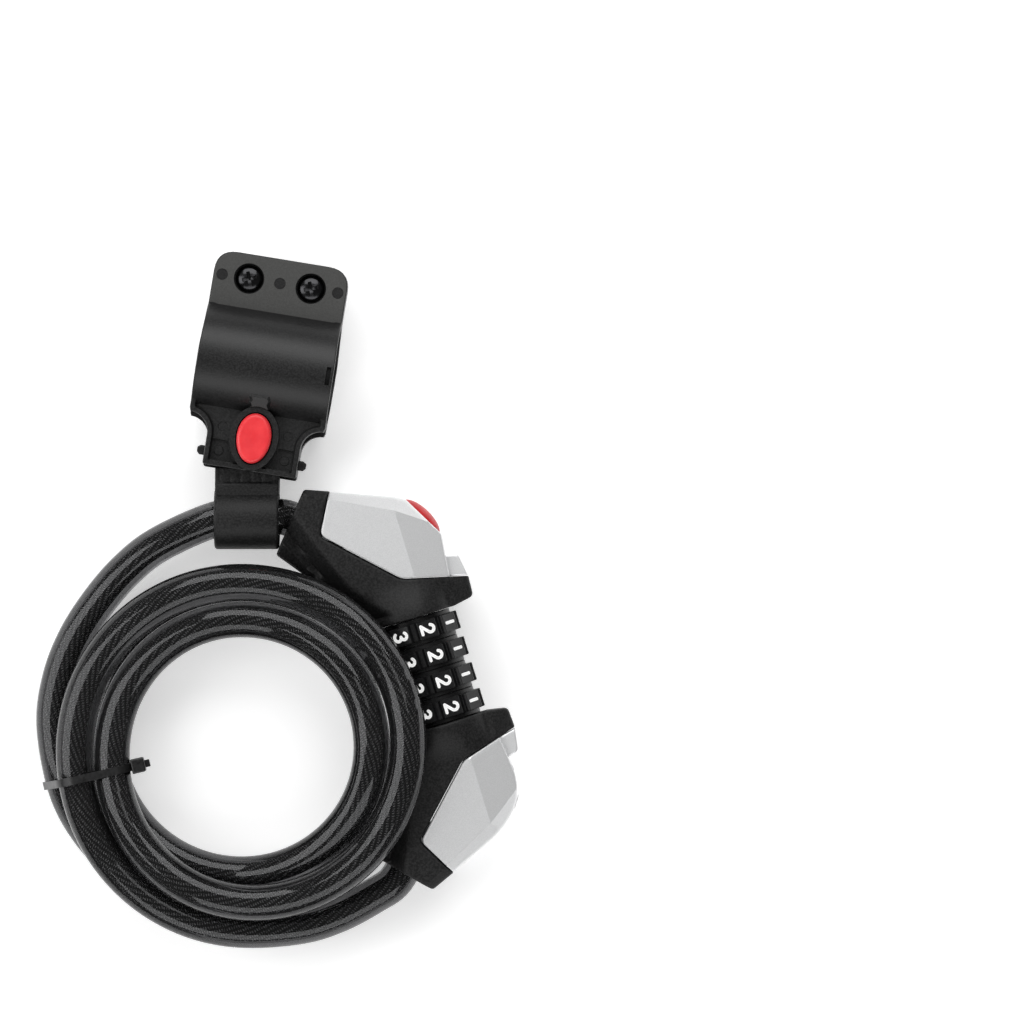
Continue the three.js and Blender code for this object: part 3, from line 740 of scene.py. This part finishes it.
def add_cable(name, line):
    """The clear sheath and, inside it, the twisted core, as one piece."""
    sheath = sweep(name, line, lambda t: SHEATH_R, 32, SHEATH)
    twist = 2 * math.pi / LAY_LENGTH
    core = sweep("core", line, strand_radius, STRANDS * 5, CORE, twist, (WIRES_ALONG, WIRES_ROUND))
    return joined(name, [sheath, core])


tail_line, main_line = cable_lines()
cable = add_cable("cable", main_line)
tail = add_cable("cable_tail_end", tail_line)
fitted(cable, "upper_body", "coil_front", "coil_back", "cable_lead")
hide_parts("cable_tail")
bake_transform(tail)


# -------- the cable tie

TIE_THICK = 0.85
TIE_HALF = 1.3


def strands_at_tie(out):
    """Where each strand passes under the tie: its distance from the coil's middle, and its height."""
    whole = np.concatenate([tail_line, main_line])
    angles = coil_angles(whole)
    strands = []
    for i in range(1, len(whole)):
        passes = (angles[i - 1] - TIE_TURN) * (angles[i] - TIE_TURN) <= 0
        if passes and abs(angles[i] - angles[i - 1]) < 20:
            arm = whole[i] - np.array(COIL)
            strands.append((arm[0] * out.x + arm[1] * out.y, whole[i][2]))
    return strands


def add_tie():
    """A band round the strands that pass under it, with its lock box and the cut-off tail."""
    out = Vector((math.cos(math.radians(TIE_TURN)), math.sin(math.radians(TIE_TURN)), 0))
    strands = strands_at_tie(out)
    loop = convex_hull(np.concatenate([oval(CABLE_R, CABLE_R, x, z, 48) for x, z in strands]))
    outer = offset(loop, -TIE_THICK)
    vertices = []
    for ring, y in ((loop, -TIE_HALF), (outer, -TIE_HALF), (outer, TIE_HALF), (loop, TIE_HALF)):
        vertices += [(p[0], y, p[1]) for p in ring]
    place = local_frame((COIL[0] * MM, COIL[1] * MM, 0), out, Vector((-out.y, out.x, 0)))
    band = make_object("tie_band", vertices, grid_faces(4, len(loop)), place, TIE_NYLON)
    inner = min(p[0] for p in outer)
    z = min(strand for strand in strands if strand[1] > 14)[1]
    lock = relief(
        "tie_lock", rectangle(inner - 4.0, inner + 0.5, -2.4, 2.4, (0.8, 0.5, 0.5, 0.8)), level(2.4, 0.5),
        place @ Matrix.Translation((0, 0, z + 1.5)), TIE_NYLON, spacing=0.8,
    )
    stub = relief(
        "tie_stub", rectangle(inner - 5.6, inner - 3.0, -1.2, 1.2, (0.2,) * 4), level(0.55, 0.2),
        place @ Matrix.Translation((0, 0, z + 0.4)), TIE_NYLON, spacing=0.8,
    )
    return fitted(joined("cable_tie_band", [band, lock, stub]), "upper_body", "cable_tie")


def convex_hull(points):
    """The outline round a set of points, with a point about each millimetre."""
    ordered = sorted(map(tuple, points))

    def turns_in(a, b, c):
        return (b[0] - a[0]) * (c[1] - a[1]) - (b[1] - a[1]) * (c[0] - a[0]) <= 0

    def half(run):
        kept = []
        for p in run:
            while len(kept) > 1 and turns_in(kept[-2], kept[-1], p):
                kept.pop()
            kept.append(p)
        return kept[:-1]

    ring = half(ordered) + half(ordered[::-1])
    spaced = []
    for (x0, y0), (x1, y1) in zip(ring, ring[1:] + ring[:1]):
        pieces = max(1, int(math.dist((x0, y0), (x1, y1))))
        spaced += [(x0 + (x1 - x0) * k / pieces, y0 + (y1 - y0) * k / pieces) for k in range(pieces)]
    return np.array(spaced)


cords = [(cable, main_line[::-1], exit_point(1, 0), [add_tie()]), (tail, tail_line, exit_point(-1, 0), [])]


# -------- the lock's two halves

UPPER_SHELL_CORNERS = [
    (-15.4, 17.8, 1), (14.9, 17.8), (21.7, 19, 1.5), (22.1, 25.7, 0.5), (0.8, 31.1, 2), (-20.3, 52.2, 2),
    (-13.2, 65.3), (-20.6, 68.2, 1), (-35.6, 50.6, 1), (-20, 30, 6),
]
LOWER_SHELL_CORNERS = [
    (-15.4, 17.8, 1), (14.9, 17.8), (21.7, 19, 1.5), (22.1, 25.7, 0.5), (2.9, 30.7, 2), (-18.3, 51.8, 2),
    (-11, 65), (-18.8, 68.2, 1), (-35, 51, 1), (-20, 30, 6),
]
UPPER_COVER_CORNERS = [
    (16.3, 27.4), (17.1, 35, 2), (17.8, 41.3, 0.4), (10.0, 55.3, 0.4), (7, 57.2, 2), (-12.9, 65.0, 0.3),
    (-19.8, 52.4, 2), (1.0, 31.5, 1.5),
]
LOWER_COVER_CORNERS = [
    (16.3, 27.4), (17.3, 35, 4), (18.6, 44.5, 8), (12.6, 53.8, 8), (5, 57.9, 1.5), (-10.7, 64.7, 0.3),
    (-17.8, 52, 2), (3.1, 31.1, 1.5),
]
LUG_CORNERS = [(15.6, 27.5), (22.0, 26.1, 0.3), (20.9, 33.4, 1.2), (15.8, 34.7, 0.3)]
COLLAR_R = 15.5
SHELL_TOP = 12.3
COVER_TOP = 12.8
CREASE_V = 5.5
CREASE_SLOPE = 0.42
END_SLOPE = 0.95
CORNER_SLOPE = 0.75
COVER_SHARP = 14
INNER_EDGE = [(-39, 56.6), (-20, 30), (-13.1, 11.7)]
INNER_CHAMFER = 5.8


def mirrored(corners, side):
    return [(corner[0], side * corner[1], *corner[2:]) for corner in corners]


def mirrored_lines(lines, side):
    return [tuple((x, side * y) for x, y in line) for line in lines]


def beyond(x, y, start, end):
    """How far points lie to the left of the line from start to end."""
    along = (Vector(end) - Vector(start)).normalized()
    return -(x - start[0]) * along.y + (y - start[1]) * along.x


APEX = (CREASE_V, 53.0)
END_BEVEL = (APEX, (-20.0, 65.9))
CORNER_BEVEL = (APEX, (18.7, 43.6))
BODY_CREASES = [((CREASE_V, 20.0), APEX), END_BEVEL, CORNER_BEVEL, (APEX, (9.0, 57.5))]


def body_top(top, v, u):
    """The faceted top that shell and cover share: flat, folded down outward, bevelled at the end."""
    fold = CREASE_SLOPE * np.maximum(v - CREASE_V, 0)
    end = END_SLOPE * np.maximum(-beyond(v, u, *END_BEVEL), 0)
    corner = fold + CORNER_SLOPE * np.maximum(beyond(v, u, *CORNER_BEVEL), 0)
    return top - np.maximum(end, corner)


def shell_height(x, y, d):
    v, u = x, np.abs(y)
    slab = body_top(SHELL_TOP, v, u)
    collar = np.sqrt(np.maximum(COLLAR_R ** 2 - v ** 2, 4))
    collar = np.where(v > 0, np.maximum(collar, 7.4 - 0.15 * np.maximum(v - 15, 0)), collar)
    z = collar + (slab - collar) * smooth(u, 18.5, 31)
    inner = np.minimum(np.abs(beyond(v, u, *INNER_EDGE[:2])), np.abs(beyond(v, u, *INNER_EDGE[1:])))
    chamfer = SHELL_TOP - INNER_CHAMFER + 1.1 * inner
    chamfer = np.where(u > 21, chamfer, 99)
    facet = z - 0.5 * np.maximum(v - 16, 0)
    return eased(np.maximum(softly_lower(facet, chamfer, 0.8), 1.5), d, 0.7)


def cover_height(x, y, d):
    return eased(body_top(COVER_TOP, x, np.abs(y)), d, 0.5)


def cable_hole(side):
    start = exit_point(side, 2)
    end = exit_point(side, -5.6)
    return round_rod("hole", start, end, CABLE_R + 0.35, ROW, BLACK)


def add_shell(node, side, corners, body):
    outline = rounded(mirrored(corners, side))
    creases = mirrored_lines(BODY_CREASES[1:2], side)
    shell = relief(f"{node}_case", outline, shell_height, HEAD, BLACK, creases=creases)
    carve(shell, cable_hole(side))
    return fitted(shell, body, node)


def add_cover(node, side, corners, body, *cutters):
    outline = rounded(mirrored(corners, side))
    creases = mirrored_lines(BODY_CREASES, side)
    cover = relief(f"{node}_paint", outline, cover_height, HEAD, SILVER, creases=creases, sharp=COVER_SHARP)
    lug = relief("lug", rounded(mirrored(LUG_CORNERS, side)), level(6.2, 0.5), HEAD, SILVER)
    if cutters:
        carve(cover, *cutters, sharp=COVER_SHARP)
    return fitted(joined(f"{node}_paint", [cover, lug]), body, node)


UNLOCK = {"v": 13.4, "u": 48.6, "long": 8.0, "wide": 5.2, "dome": 2.6, "floor": -3.5}
UNLOCK_OUT = Vector((0.873, 0.487, 0))
UNLOCK_FRAME = HEAD @ Matrix.Translation((UNLOCK["v"], UNLOCK["u"], 0)) @ Matrix((
    (-UNLOCK_OUT.y, 0, UNLOCK_OUT.x, 0), (UNLOCK_OUT.x, 0, UNLOCK_OUT.y, 0), (0, 1, 0, 0), (0, 0, 0, 1),
))


def add_unlock_button():
    def dome(x, y, d):
        reach = (x / UNLOCK["long"]) ** 2 + (y / UNLOCK["wide"]) ** 2
        return -0.5 + (UNLOCK["dome"] + 0.5) * np.maximum(1 - reach, 0) ** 0.55

    outline = oval(UNLOCK["long"] - 0.15, UNLOCK["wide"] - 0.15)
    button = relief(
        "unlock_button_cap", outline, dome, UNLOCK_FRAME, DEEP_RED, floor=UNLOCK["floor"], spacing=0.7,
    )
    return fitted(button, "unlock_button", "unlock_button")


def unlock_well():
    outline = oval(UNLOCK["long"] + 0.2, UNLOCK["wide"] + 0.2)
    return relief("well", outline, level(9), UNLOCK_FRAME, RED, floor=UNLOCK["floor"] - 2.2)


add_shell("upper_shell", 1, UPPER_SHELL_CORNERS, "upper_body")
add_shell("lower_shell", -1, LOWER_SHELL_CORNERS, "bolt_body")
add_cover("upper_cover", 1, UPPER_COVER_CORNERS, "upper_body", unlock_well())
add_cover("lower_cover", -1, LOWER_COVER_CORNERS, "bolt_body")
add_unlock_button()


# -------- the dials

PADS = 10
PAD_R = 14.85
NECK_R = 12.9
BORE_R = 11.2
DIAL_PITCH = 8.8
# Across a pad: distance along its flat from the middle, and distance from the dial's axis.
PAD_PROFILE = [
    (0, PAD_R), (1.6, PAD_R), (3.05, PAD_R), (3.2, PAD_R - 0.12), (3.6, 13.3), (4.15, 13.2), (4.3, 13.75),
    (4.75, 13.9),
]
# Along the dial, from its middle: distance, the limit on the radius there, and how much is then cut off it.
DIAL_RINGS = [
    (0, math.inf, 0), (1.4, math.inf, 0), (2.8, math.inf, 0), (2.97, math.inf, 0.18), (3.08, NECK_R, 0),
    (4.2, NECK_R, 0), (4.36, NECK_R, 0.12),
]


def pad_columns():
    columns = []
    for pad in range(PADS):
        middle = 2 * math.pi * (pad + 0.5) / PADS
        sides = [(-t, r) for t, r in PAD_PROFILE[:0:-1]] + PAD_PROFILE
        columns += [(middle + math.atan2(t, r), math.hypot(t, r)) for t, r in sides]
    return columns


def add_dial(number):
    offset_u = (2.5 - number) * DIAL_PITCH
    columns = pad_columns()
    rings = [(-y, limit, drop) for y, limit, drop in DIAL_RINGS[:0:-1]] + DIAL_RINGS
    ends = rings[0][0], rings[-1][0]
    vertices = []
    for angle, radius in columns:
        line = [(min(radius, limit) - drop, y) for y, limit, drop in rings]
        line = [(BORE_R, ends[0]), *line, (BORE_R, ends[1])]
        vertices += [(r * math.sin(angle), y + offset_u, r * math.cos(angle)) for r, y in line]
    faces = grid_faces(len(columns), len(rings) + 2)
    dial = make_object(f"dial_{number}_wheel", vertices, faces, HEAD, DIAL_BLACK, sharp=25)
    fitted(dial, f"dial_{number}", f"dial_{number}")
    digits = joined(f"dial_{number}_digits", [add_digit(digit, offset_u) for digit in range(PADS)])
    fitted(digits, f"dial_{number}")


DIGIT_STROKE = 1.02
DIGIT_RAISED = 0.05


def arc(x, y, rx, ry, start, end):
    steps = max(4, abs(end - start) // 15)
    angles = [math.radians(start + (end - start) * k / steps) for k in range(steps + 1)]
    return [(x + rx * math.cos(t), y + ry * math.sin(t)) for t in angles]


HOOK = arc(0, -0.85, 1.2, 1.25, 0, 360)
STEM = arc(1.3, -0.85, 2.5, 2.95, 180, 108)
DIGITS = [
    [arc(0, 0, 1.25, 2.1, 0, 360)],
    [[(0, -1.9), (0, 1.9)]],
    [arc(0, 0.85, 1.2, 1.25, 165, -35) + [(-1.3, -2.1), (1.35, -2.1)]],
    [arc(0, 1.1, 1.1, 1.0, 150, -90), arc(0, -1.0, 1.25, 1.1, 90, -150)],
    [[(0.65, -2.1), (0.65, 2.1), (-1.35, -0.85), (1.4, -0.85)]],
    [[(1.1, 2.1), (-0.95, 2.1), (-1.1, 0.2), *arc(-0.05, -0.8, 1.3, 1.3, 130, -150)]],
    [HOOK, STEM],
    [[(-1.3, 2.1), (1.3, 2.1), (-0.4, -2.1)]],
    [arc(0, 1.1, 1.0, 1.0, 0, 360), arc(0, -1.05, 1.25, 1.1, 0, 360)],
    [[(-x, -y) for x, y in stroke] for stroke in (HOOK, STEM)],
]


def add_digit(digit, offset_u):
    """A painted digit, read along the stack with its top towards the outer side."""
    angle = math.radians(90 - 36 * digit)
    out = Vector((math.sin(angle), 0, math.cos(angle)))
    top = Vector((math.cos(angle), 0, -math.sin(angle)))
    across = Vector((0, -1, 0))
    place = out * PAD_R + Vector((0, offset_u, 0))
    turn = Matrix([[across[i], top[i], out[i], place[i]] for i in range(3)] + [[0, 0, 0, 1]])
    vertices, faces = [], []
    for stroke in DIGITS[digit]:
        add_stroke(stroke, vertices, faces)
    return make_object("digit", vertices, faces, HEAD @ turn, DIGIT_WHITE)


def add_stroke(stroke, vertices, faces):
    """A raised line of even width with round joints: a flat bar for each piece and a disc at each point."""
    half = DIGIT_STROKE / 2
    for (x0, y0), (x1, y1) in zip(stroke, stroke[1:]):
        length = math.hypot(x1 - x0, y1 - y0)
        nx, ny = -(y1 - y0) / length * half, (x1 - x0) / length * half
        bar = [(x0 + nx, y0 + ny), (x0 - nx, y0 - ny), (x1 - nx, y1 - ny), (x1 + nx, y1 + ny)]
        add_prism(bar, vertices, faces)
    for x, y in stroke:
        add_prism(oval(half, half, x, y, 16), vertices, faces)


def add_prism(loop, vertices, faces):
    start, count = len(vertices), len(loop)
    vertices += [(x, y, z) for z in (-DIGIT_RAISED, DIGIT_RAISED) for x, y in loop]
    faces.append(tuple(start + i for i in range(count)))
    faces.append(tuple(start + count + i for i in range(count)))
    for i in range(count):
        j = (i + 1) % count
        faces.append((start + i, start + j, start + count + j, start + count + i))


for number in (1, 2, 3, 4):
    add_dial(number)


# -------- the bracket

CLAMP_R = 18.2
CLAMP_BORE = 15.7
CLAMP_HALF = 22.2
FLANGE_TOP = 6.0
FLANGE_HALF = 21.9
FLANGE_END = 34.95
HOUSING_HALF = 15.3
HOUSING_END = -34.7
SHOULDER = 6.5
SHOULDER_B = -18.4
RIM_TOP = 11.0
RIM_WIDTH = 1.9
RING_TOP = 12.9
WELL_FLOOR = 8.0
POCKET_FLOOR = 3.2
SPLIT = 0.15
BUTTON_B = -24.0
SCREW_A = 10.15
SCREW_B = 27.0


def half_outline(drop=0.0):
    """The bracket half's outline. drop moves the shoulders and the housing's end further from the post."""
    low = SHOULDER_B - drop
    shoulder = [
        (HOUSING_HALF + SHOULDER - SHOULDER * math.cos(t), low - SHOULDER + SHOULDER * math.sin(t))
        for t in np.linspace(0, math.pi / 2, 9)
    ]
    right = [
        (HOUSING_HALF, HOUSING_END - 0.5 * drop, 0.9), *shoulder, (CLAMP_HALF, low + 1.2), (CLAMP_HALF, 3),
        (FLANGE_HALF, 12), (FLANGE_HALF, FLANGE_END, 7),
    ]
    left = [(-corner[0], *corner[1:]) for corner in reversed(right)]
    return rounded(right + left)


def disc(a, b, radius):
    return oval(radius, radius, a, b, 40)


def egg(half_a, half_b):
    """An oval that is a little fuller at its flange end."""
    loop = oval(half_a, half_b, 0, 0, 72)
    loop[:, 0] *= 1 + 0.05 * loop[:, 1] / half_b
    return loop + np.array([0, BUTTON_B])


HOUSING_FLOOR = 9.1
ZONE_FLOOR = 7.7
ZONES = [rectangle(side * 5.4, side * 13.3, -32.8, -26.0, (0.4,) * 4) for side in (-1, 1)]
RING_LOOP = egg(8.0, 10.4)
WELL_LOOP = egg(5.95, 8.5)
TAB_LOOP = rectangle(-2.9, 2.9, -17, -10.4, (0, 0, 0.8, 0.8))
MARKS = [disc(a, SCREW_B, 1.8) for a in (-19, 0, 19)]
UPPER_MARKS = [disc(side * 10.7, -21.7, 1.5) for side in (-1, 1)]
LOWER_MARKS = [disc(side * 10.8, -29.6, 1.5) for side in (-1, 1)]
SCREW_POCKETS = [disc(side * SCREW_A, SCREW_B, 4.9) for side in (-1, 1)]
SIDE_SLOT = rectangle(19.9, 21.2, -3.2, 2.6)


def cut_clear(loops, clear_of):
    """Only those loops' points that stay outside another loop, for loops that it would cross."""
    kept = []
    for loop in loops:
        outside = ~inside(loop, clear_of) & (distance(loop, clear_of) > 0.4)
        kept.append(loop if outside.all() else loop[outside])
    return kept


HOUSING_ZONES = cut_clear(ZONES, RING_LOOP)


def levelled(z, at, loops, top):
    """The height z, but level inside each loop."""
    for loop in loops:
        z = np.where(inside(at, loop), top, z)
    return z


def shifted(z, at, loops, by):
    """The height z, raised or sunk inside each loop."""
    for loop in loops:
        z = np.where(inside(at, loop), z + by, z)
    return z


def front_height(x, y, d):
    at = np.stack([x, y], axis=1)
    barrel = np.sqrt(np.maximum(CLAMP_R ** 2 - y ** 2, 0))
    z = np.where(y > 0, np.maximum(barrel, FLANGE_TOP), np.maximum(barrel, HOUSING_FLOOR))
    rim = (d < RIM_WIDTH) & (y < -12.5)
    z = np.where(rim, np.maximum(z, RIM_TOP), z)
    z = levelled(z, at, HOUSING_ZONES, ZONE_FLOOR)
    z = shifted(z, at, UPPER_MARKS, -0.25)
    z = shifted(z, at, LOWER_MARKS, 0.4)
    tab = np.clip(RING_TOP + (y + 15.5) * 0.55, RING_TOP, 15.6)
    z = np.where(inside(at, TAB_LOOP), np.maximum(z, tab), z)
    z = levelled(z, at, [RING_LOOP], RING_TOP)
    z = levelled(z, at, [WELL_LOOP], WELL_FLOOR)
    z = shifted(z, at, MARKS, -0.15)
    z = levelled(z, at, SCREW_POCKETS, POCKET_FLOOR)
    z = shifted(z, at, [SIDE_SLOT], -2.2)
    return eased(z, d, 0.4)


def bracket_bore():
    """What is cut out of either half: the seat post's bore, the clip's space and the screw holes."""
    cavity = rectangle(-12.6, 12.6, -60, -20, step=5)
    holes = [disc(side * SCREW_A, SCREW_B, 2.2) for side in (-1, 1)]
    return [
        round_rod("bore", (-40, 0, 0), (40, 0, 0), CLAMP_BORE, BRACKET, CLAMP_BLACK, sides=96),
        relief("cavity", cavity, level(6.9), BRACKET, CLAMP_BLACK, spacing=5),
        *(relief("hole", hole, level(9), BRACKET, CLAMP_BLACK) for hole in holes),
    ]


def paint_flange_highlight(front):
    """Paints the flange's up-facing open face lighter, a painted highlight for the light that falls on it,
    and leaves the ejector marks, the wells and the flange's sides in the clamp's black.
    """
    front.data.materials.append(FLANGE_LIT_GREY)
    back_to_local = BRACKET.inverted()
    start = math.sqrt(CLAMP_R ** 2 - FLANGE_TOP ** 2)
    faces = [f for f in front.data.polygons if f.normal.z > 0.8]
    at = np.array([tuple(back_to_local @ f.center) for f in faces])
    # Up-facing faces at the flange's top, outside the marks and wells, get the painted highlight.
    is_lit_face = (at[:, 1] > start) & (at[:, 2] > FLANGE_TOP - 0.05)
    for face, grey in zip(faces, is_lit_face):
        face.material_index = 1 if grey else 0


def hook_outline(side):
    """One of the two small hooks beside the housing, which stick out at its sides."""
    corners = [
        (15.0, -31.9), (17.0, -31.9, 0.3), (17.9, -31, 0.3), (17.9, -29.4, 0.3), (16.8, -28.7, 0.3),
        (15.0, -28.7),
    ]
    return rounded([(side * corner[0], *corner[1:]) for corner in corners])


def add_clamp_front():
    loops = [
        *HOUSING_ZONES, *UPPER_MARKS, *LOWER_MARKS, RING_LOOP, WELL_LOOP, *MARKS, *SCREW_POCKETS, SIDE_SLOT,
    ]
    front = relief(
        "clamp_front_half", half_outline(), front_height, BRACKET, CLAMP_BLACK, loops=loops, floor=SPLIT,
        spacing=1.0, sharp=28,
    )
    carve(front, *bracket_bore(), sharp=28)
    paint_flange_highlight(front)
    hooks = [
        relief("hook", hook_outline(side), level(5, 0.3), BRACKET, CLAMP_BLACK, floor=1.2, spacing=0.8)
        for side in (-1, 1)
    ]
    return fitted(joined("clamp_front_half", [front, *hooks]), "bracket", "clamp_front")


def back_height(x, y, d):
    barrel = np.sqrt(np.maximum(CLAMP_R ** 2 - y ** 2, 0))
    z = np.maximum(barrel, np.where(y > 0, FLANGE_TOP, RIM_TOP - 0.4))
    return eased(z, d, 0.6)


def add_clamp_back():
    under = BRACKET @ Matrix.Diagonal((-1, 1, -1, 1))
    outline = half_outline(drop=1.5)
    back = relief("clamp_back_half", outline, back_height, under, CLAMP_BLACK, floor=SPLIT, sharp=28)
    carve(back, *bracket_bore(), sharp=28)
    return fitted(back, "clamp_back", "clamp_back")


def cross_loop(a, b, arm=2.3, half=0.52):
    """A Phillips cross, turned a little."""
    corners = [
        (half, half), (half, arm), (-half, arm), (-half, half), (-arm, half), (-arm, -half),
        (-half, -half), (-half, -arm), (half, -arm), (half, -half), (arm, -half), (arm, half),
    ]
    turn = math.radians(20)
    across, up = (math.cos(turn), math.sin(turn)), (-math.sin(turn), math.cos(turn))
    return rounded([(a + x * across[0] + y * up[0], b + x * across[1] + y * up[1]) for x, y in corners], 0.35)


def add_screw(name, a):
    cross = cross_loop(a, SCREW_B)

    def head(x, y, d):
        reach = np.hypot(x - a, y - SCREW_B)
        dome = 3.4 + 2.2 * np.sqrt(np.maximum(1 - (reach / 4.6) ** 2, 0))
        recess = inside(np.stack([x, y], axis=1), cross)
        return np.where(recess, dome - 1.6 + 0.35 * reach, dome)

    screw = relief(
        f"{name}_head", disc(a, SCREW_B, 4.4), head, BRACKET, BLACK_STEEL, loops=[cross], floor=3.3,
        spacing=0.5,
    )
    shank = round_rod("shank", (a, SCREW_B, -6.2), (a, SCREW_B, 3.5), 1.95, BRACKET, BLACK_STEEL, sides=24)
    return fitted(joined(f"{name}_head", [screw, shank]), "bracket", name)


def add_release_button():
    def crown(x, y, d):
        dish = 0.35 * np.exp(-((x / 2.6) ** 2 + ((y - BUTTON_B) / 4.2) ** 2))
        return eased(np.full_like(x, 15.0), d, 1.3) - dish

    button = relief("release_button_cap", egg(5.6, 8.15), crown, BRACKET, RED, floor=10.05, spacing=0.7)
    return fitted(button, "release_button", "release_button")


add_clamp_front()
add_clamp_back()
add_screw("clamp_screw_left", -SCREW_A)
add_screw("clamp_screw_right", SCREW_A)
add_release_button()


# -------- the clip on the cable

NECK_TOP = 16.6
TONGUE_HALF = 2.8


def add_clip():
    """The ring round the cable, its ribbed neck, and the tongue that turns on the swivel pin."""
    ring = round_rod("cable_clip_ring", (-10.5, 0, 0), (10.5, 0, 0), 10, CLIP, BLACK, sides=72, bevel=0.9)
    pin = (BRACKET @ Vector((0, SWIVEL_B, 0))) / MM
    middle = Vector(JOINTS["clip_turn"]["pos_m"]) / MM
    pin_x, pin_y = pin.x - middle.x, pin.y - middle.y

    def ribbed(x, y, d):
        ribs = 0.18 * (np.abs(((x + 0.2) / 3.4) % 1 - 0.5) < 0.09) * (y > 11.8)
        step = 0.7 * smooth(y, 11.2, 11.6)
        return eased(6.5 - step - ribs, d, 0.4)

    neck_outline = rounded([(-10.2, 6.5), (10.4, 6.5), (10.7, NECK_TOP, 0.4), (-10.2, NECK_TOP, 0.4)])
    neck = relief("neck", neck_outline, ribbed, CLIP, BLACK, spacing=0.6)
    tongue_outline = rectangle(pin_x - 6, pin_x + 6, 10, pin_y + 6, (0, 0, 5.9, 5.9))
    tongue = relief("tongue", tongue_outline, level(TONGUE_HALF, 0.3), CLIP, BLACK)
    combine(ring, "UNION", [neck, tongue])
    bore = round_rod("bore", (-20, 0, 0), (20, 0, 0), 8.0, CLIP, BLACK, sides=72)
    pin_place = CLIP @ Matrix.Translation((pin_x, pin_y, 0))
    pin_hole = turned("pin_hole", [(0.01, -9), (2.3, -9), (2.3, 9), (0.01, 9)], pin_place, BLACK, sides=32)
    carve(ring, bore, pin_hole)
    return fitted(ring, "clip", "cable_clip")


add_clip()


# -------- the CAD's own inner pieces

INNER = {
    STEEL: [
        "dial_barrel", "detent_strip", "locking_bolt", "upper_ferrule", "lower_ferrule", "upper_ferrule_pin",
        "lower_ferrule_pin", "swivel_pin", "latch_spring", "clamp_nut_left", "clamp_nut_right",
        *(f"code_sleeve_{number}" for number in (1, 2, 3, 4)),
    ],
    RUBBER: ["liner_front", "liner_back"],
    BLACK: ["swivel_block"],
}
for material, names in INNER.items():
    for name in names:
        for slot in frame["nodes"][name].material_slots:
            slot.material = material
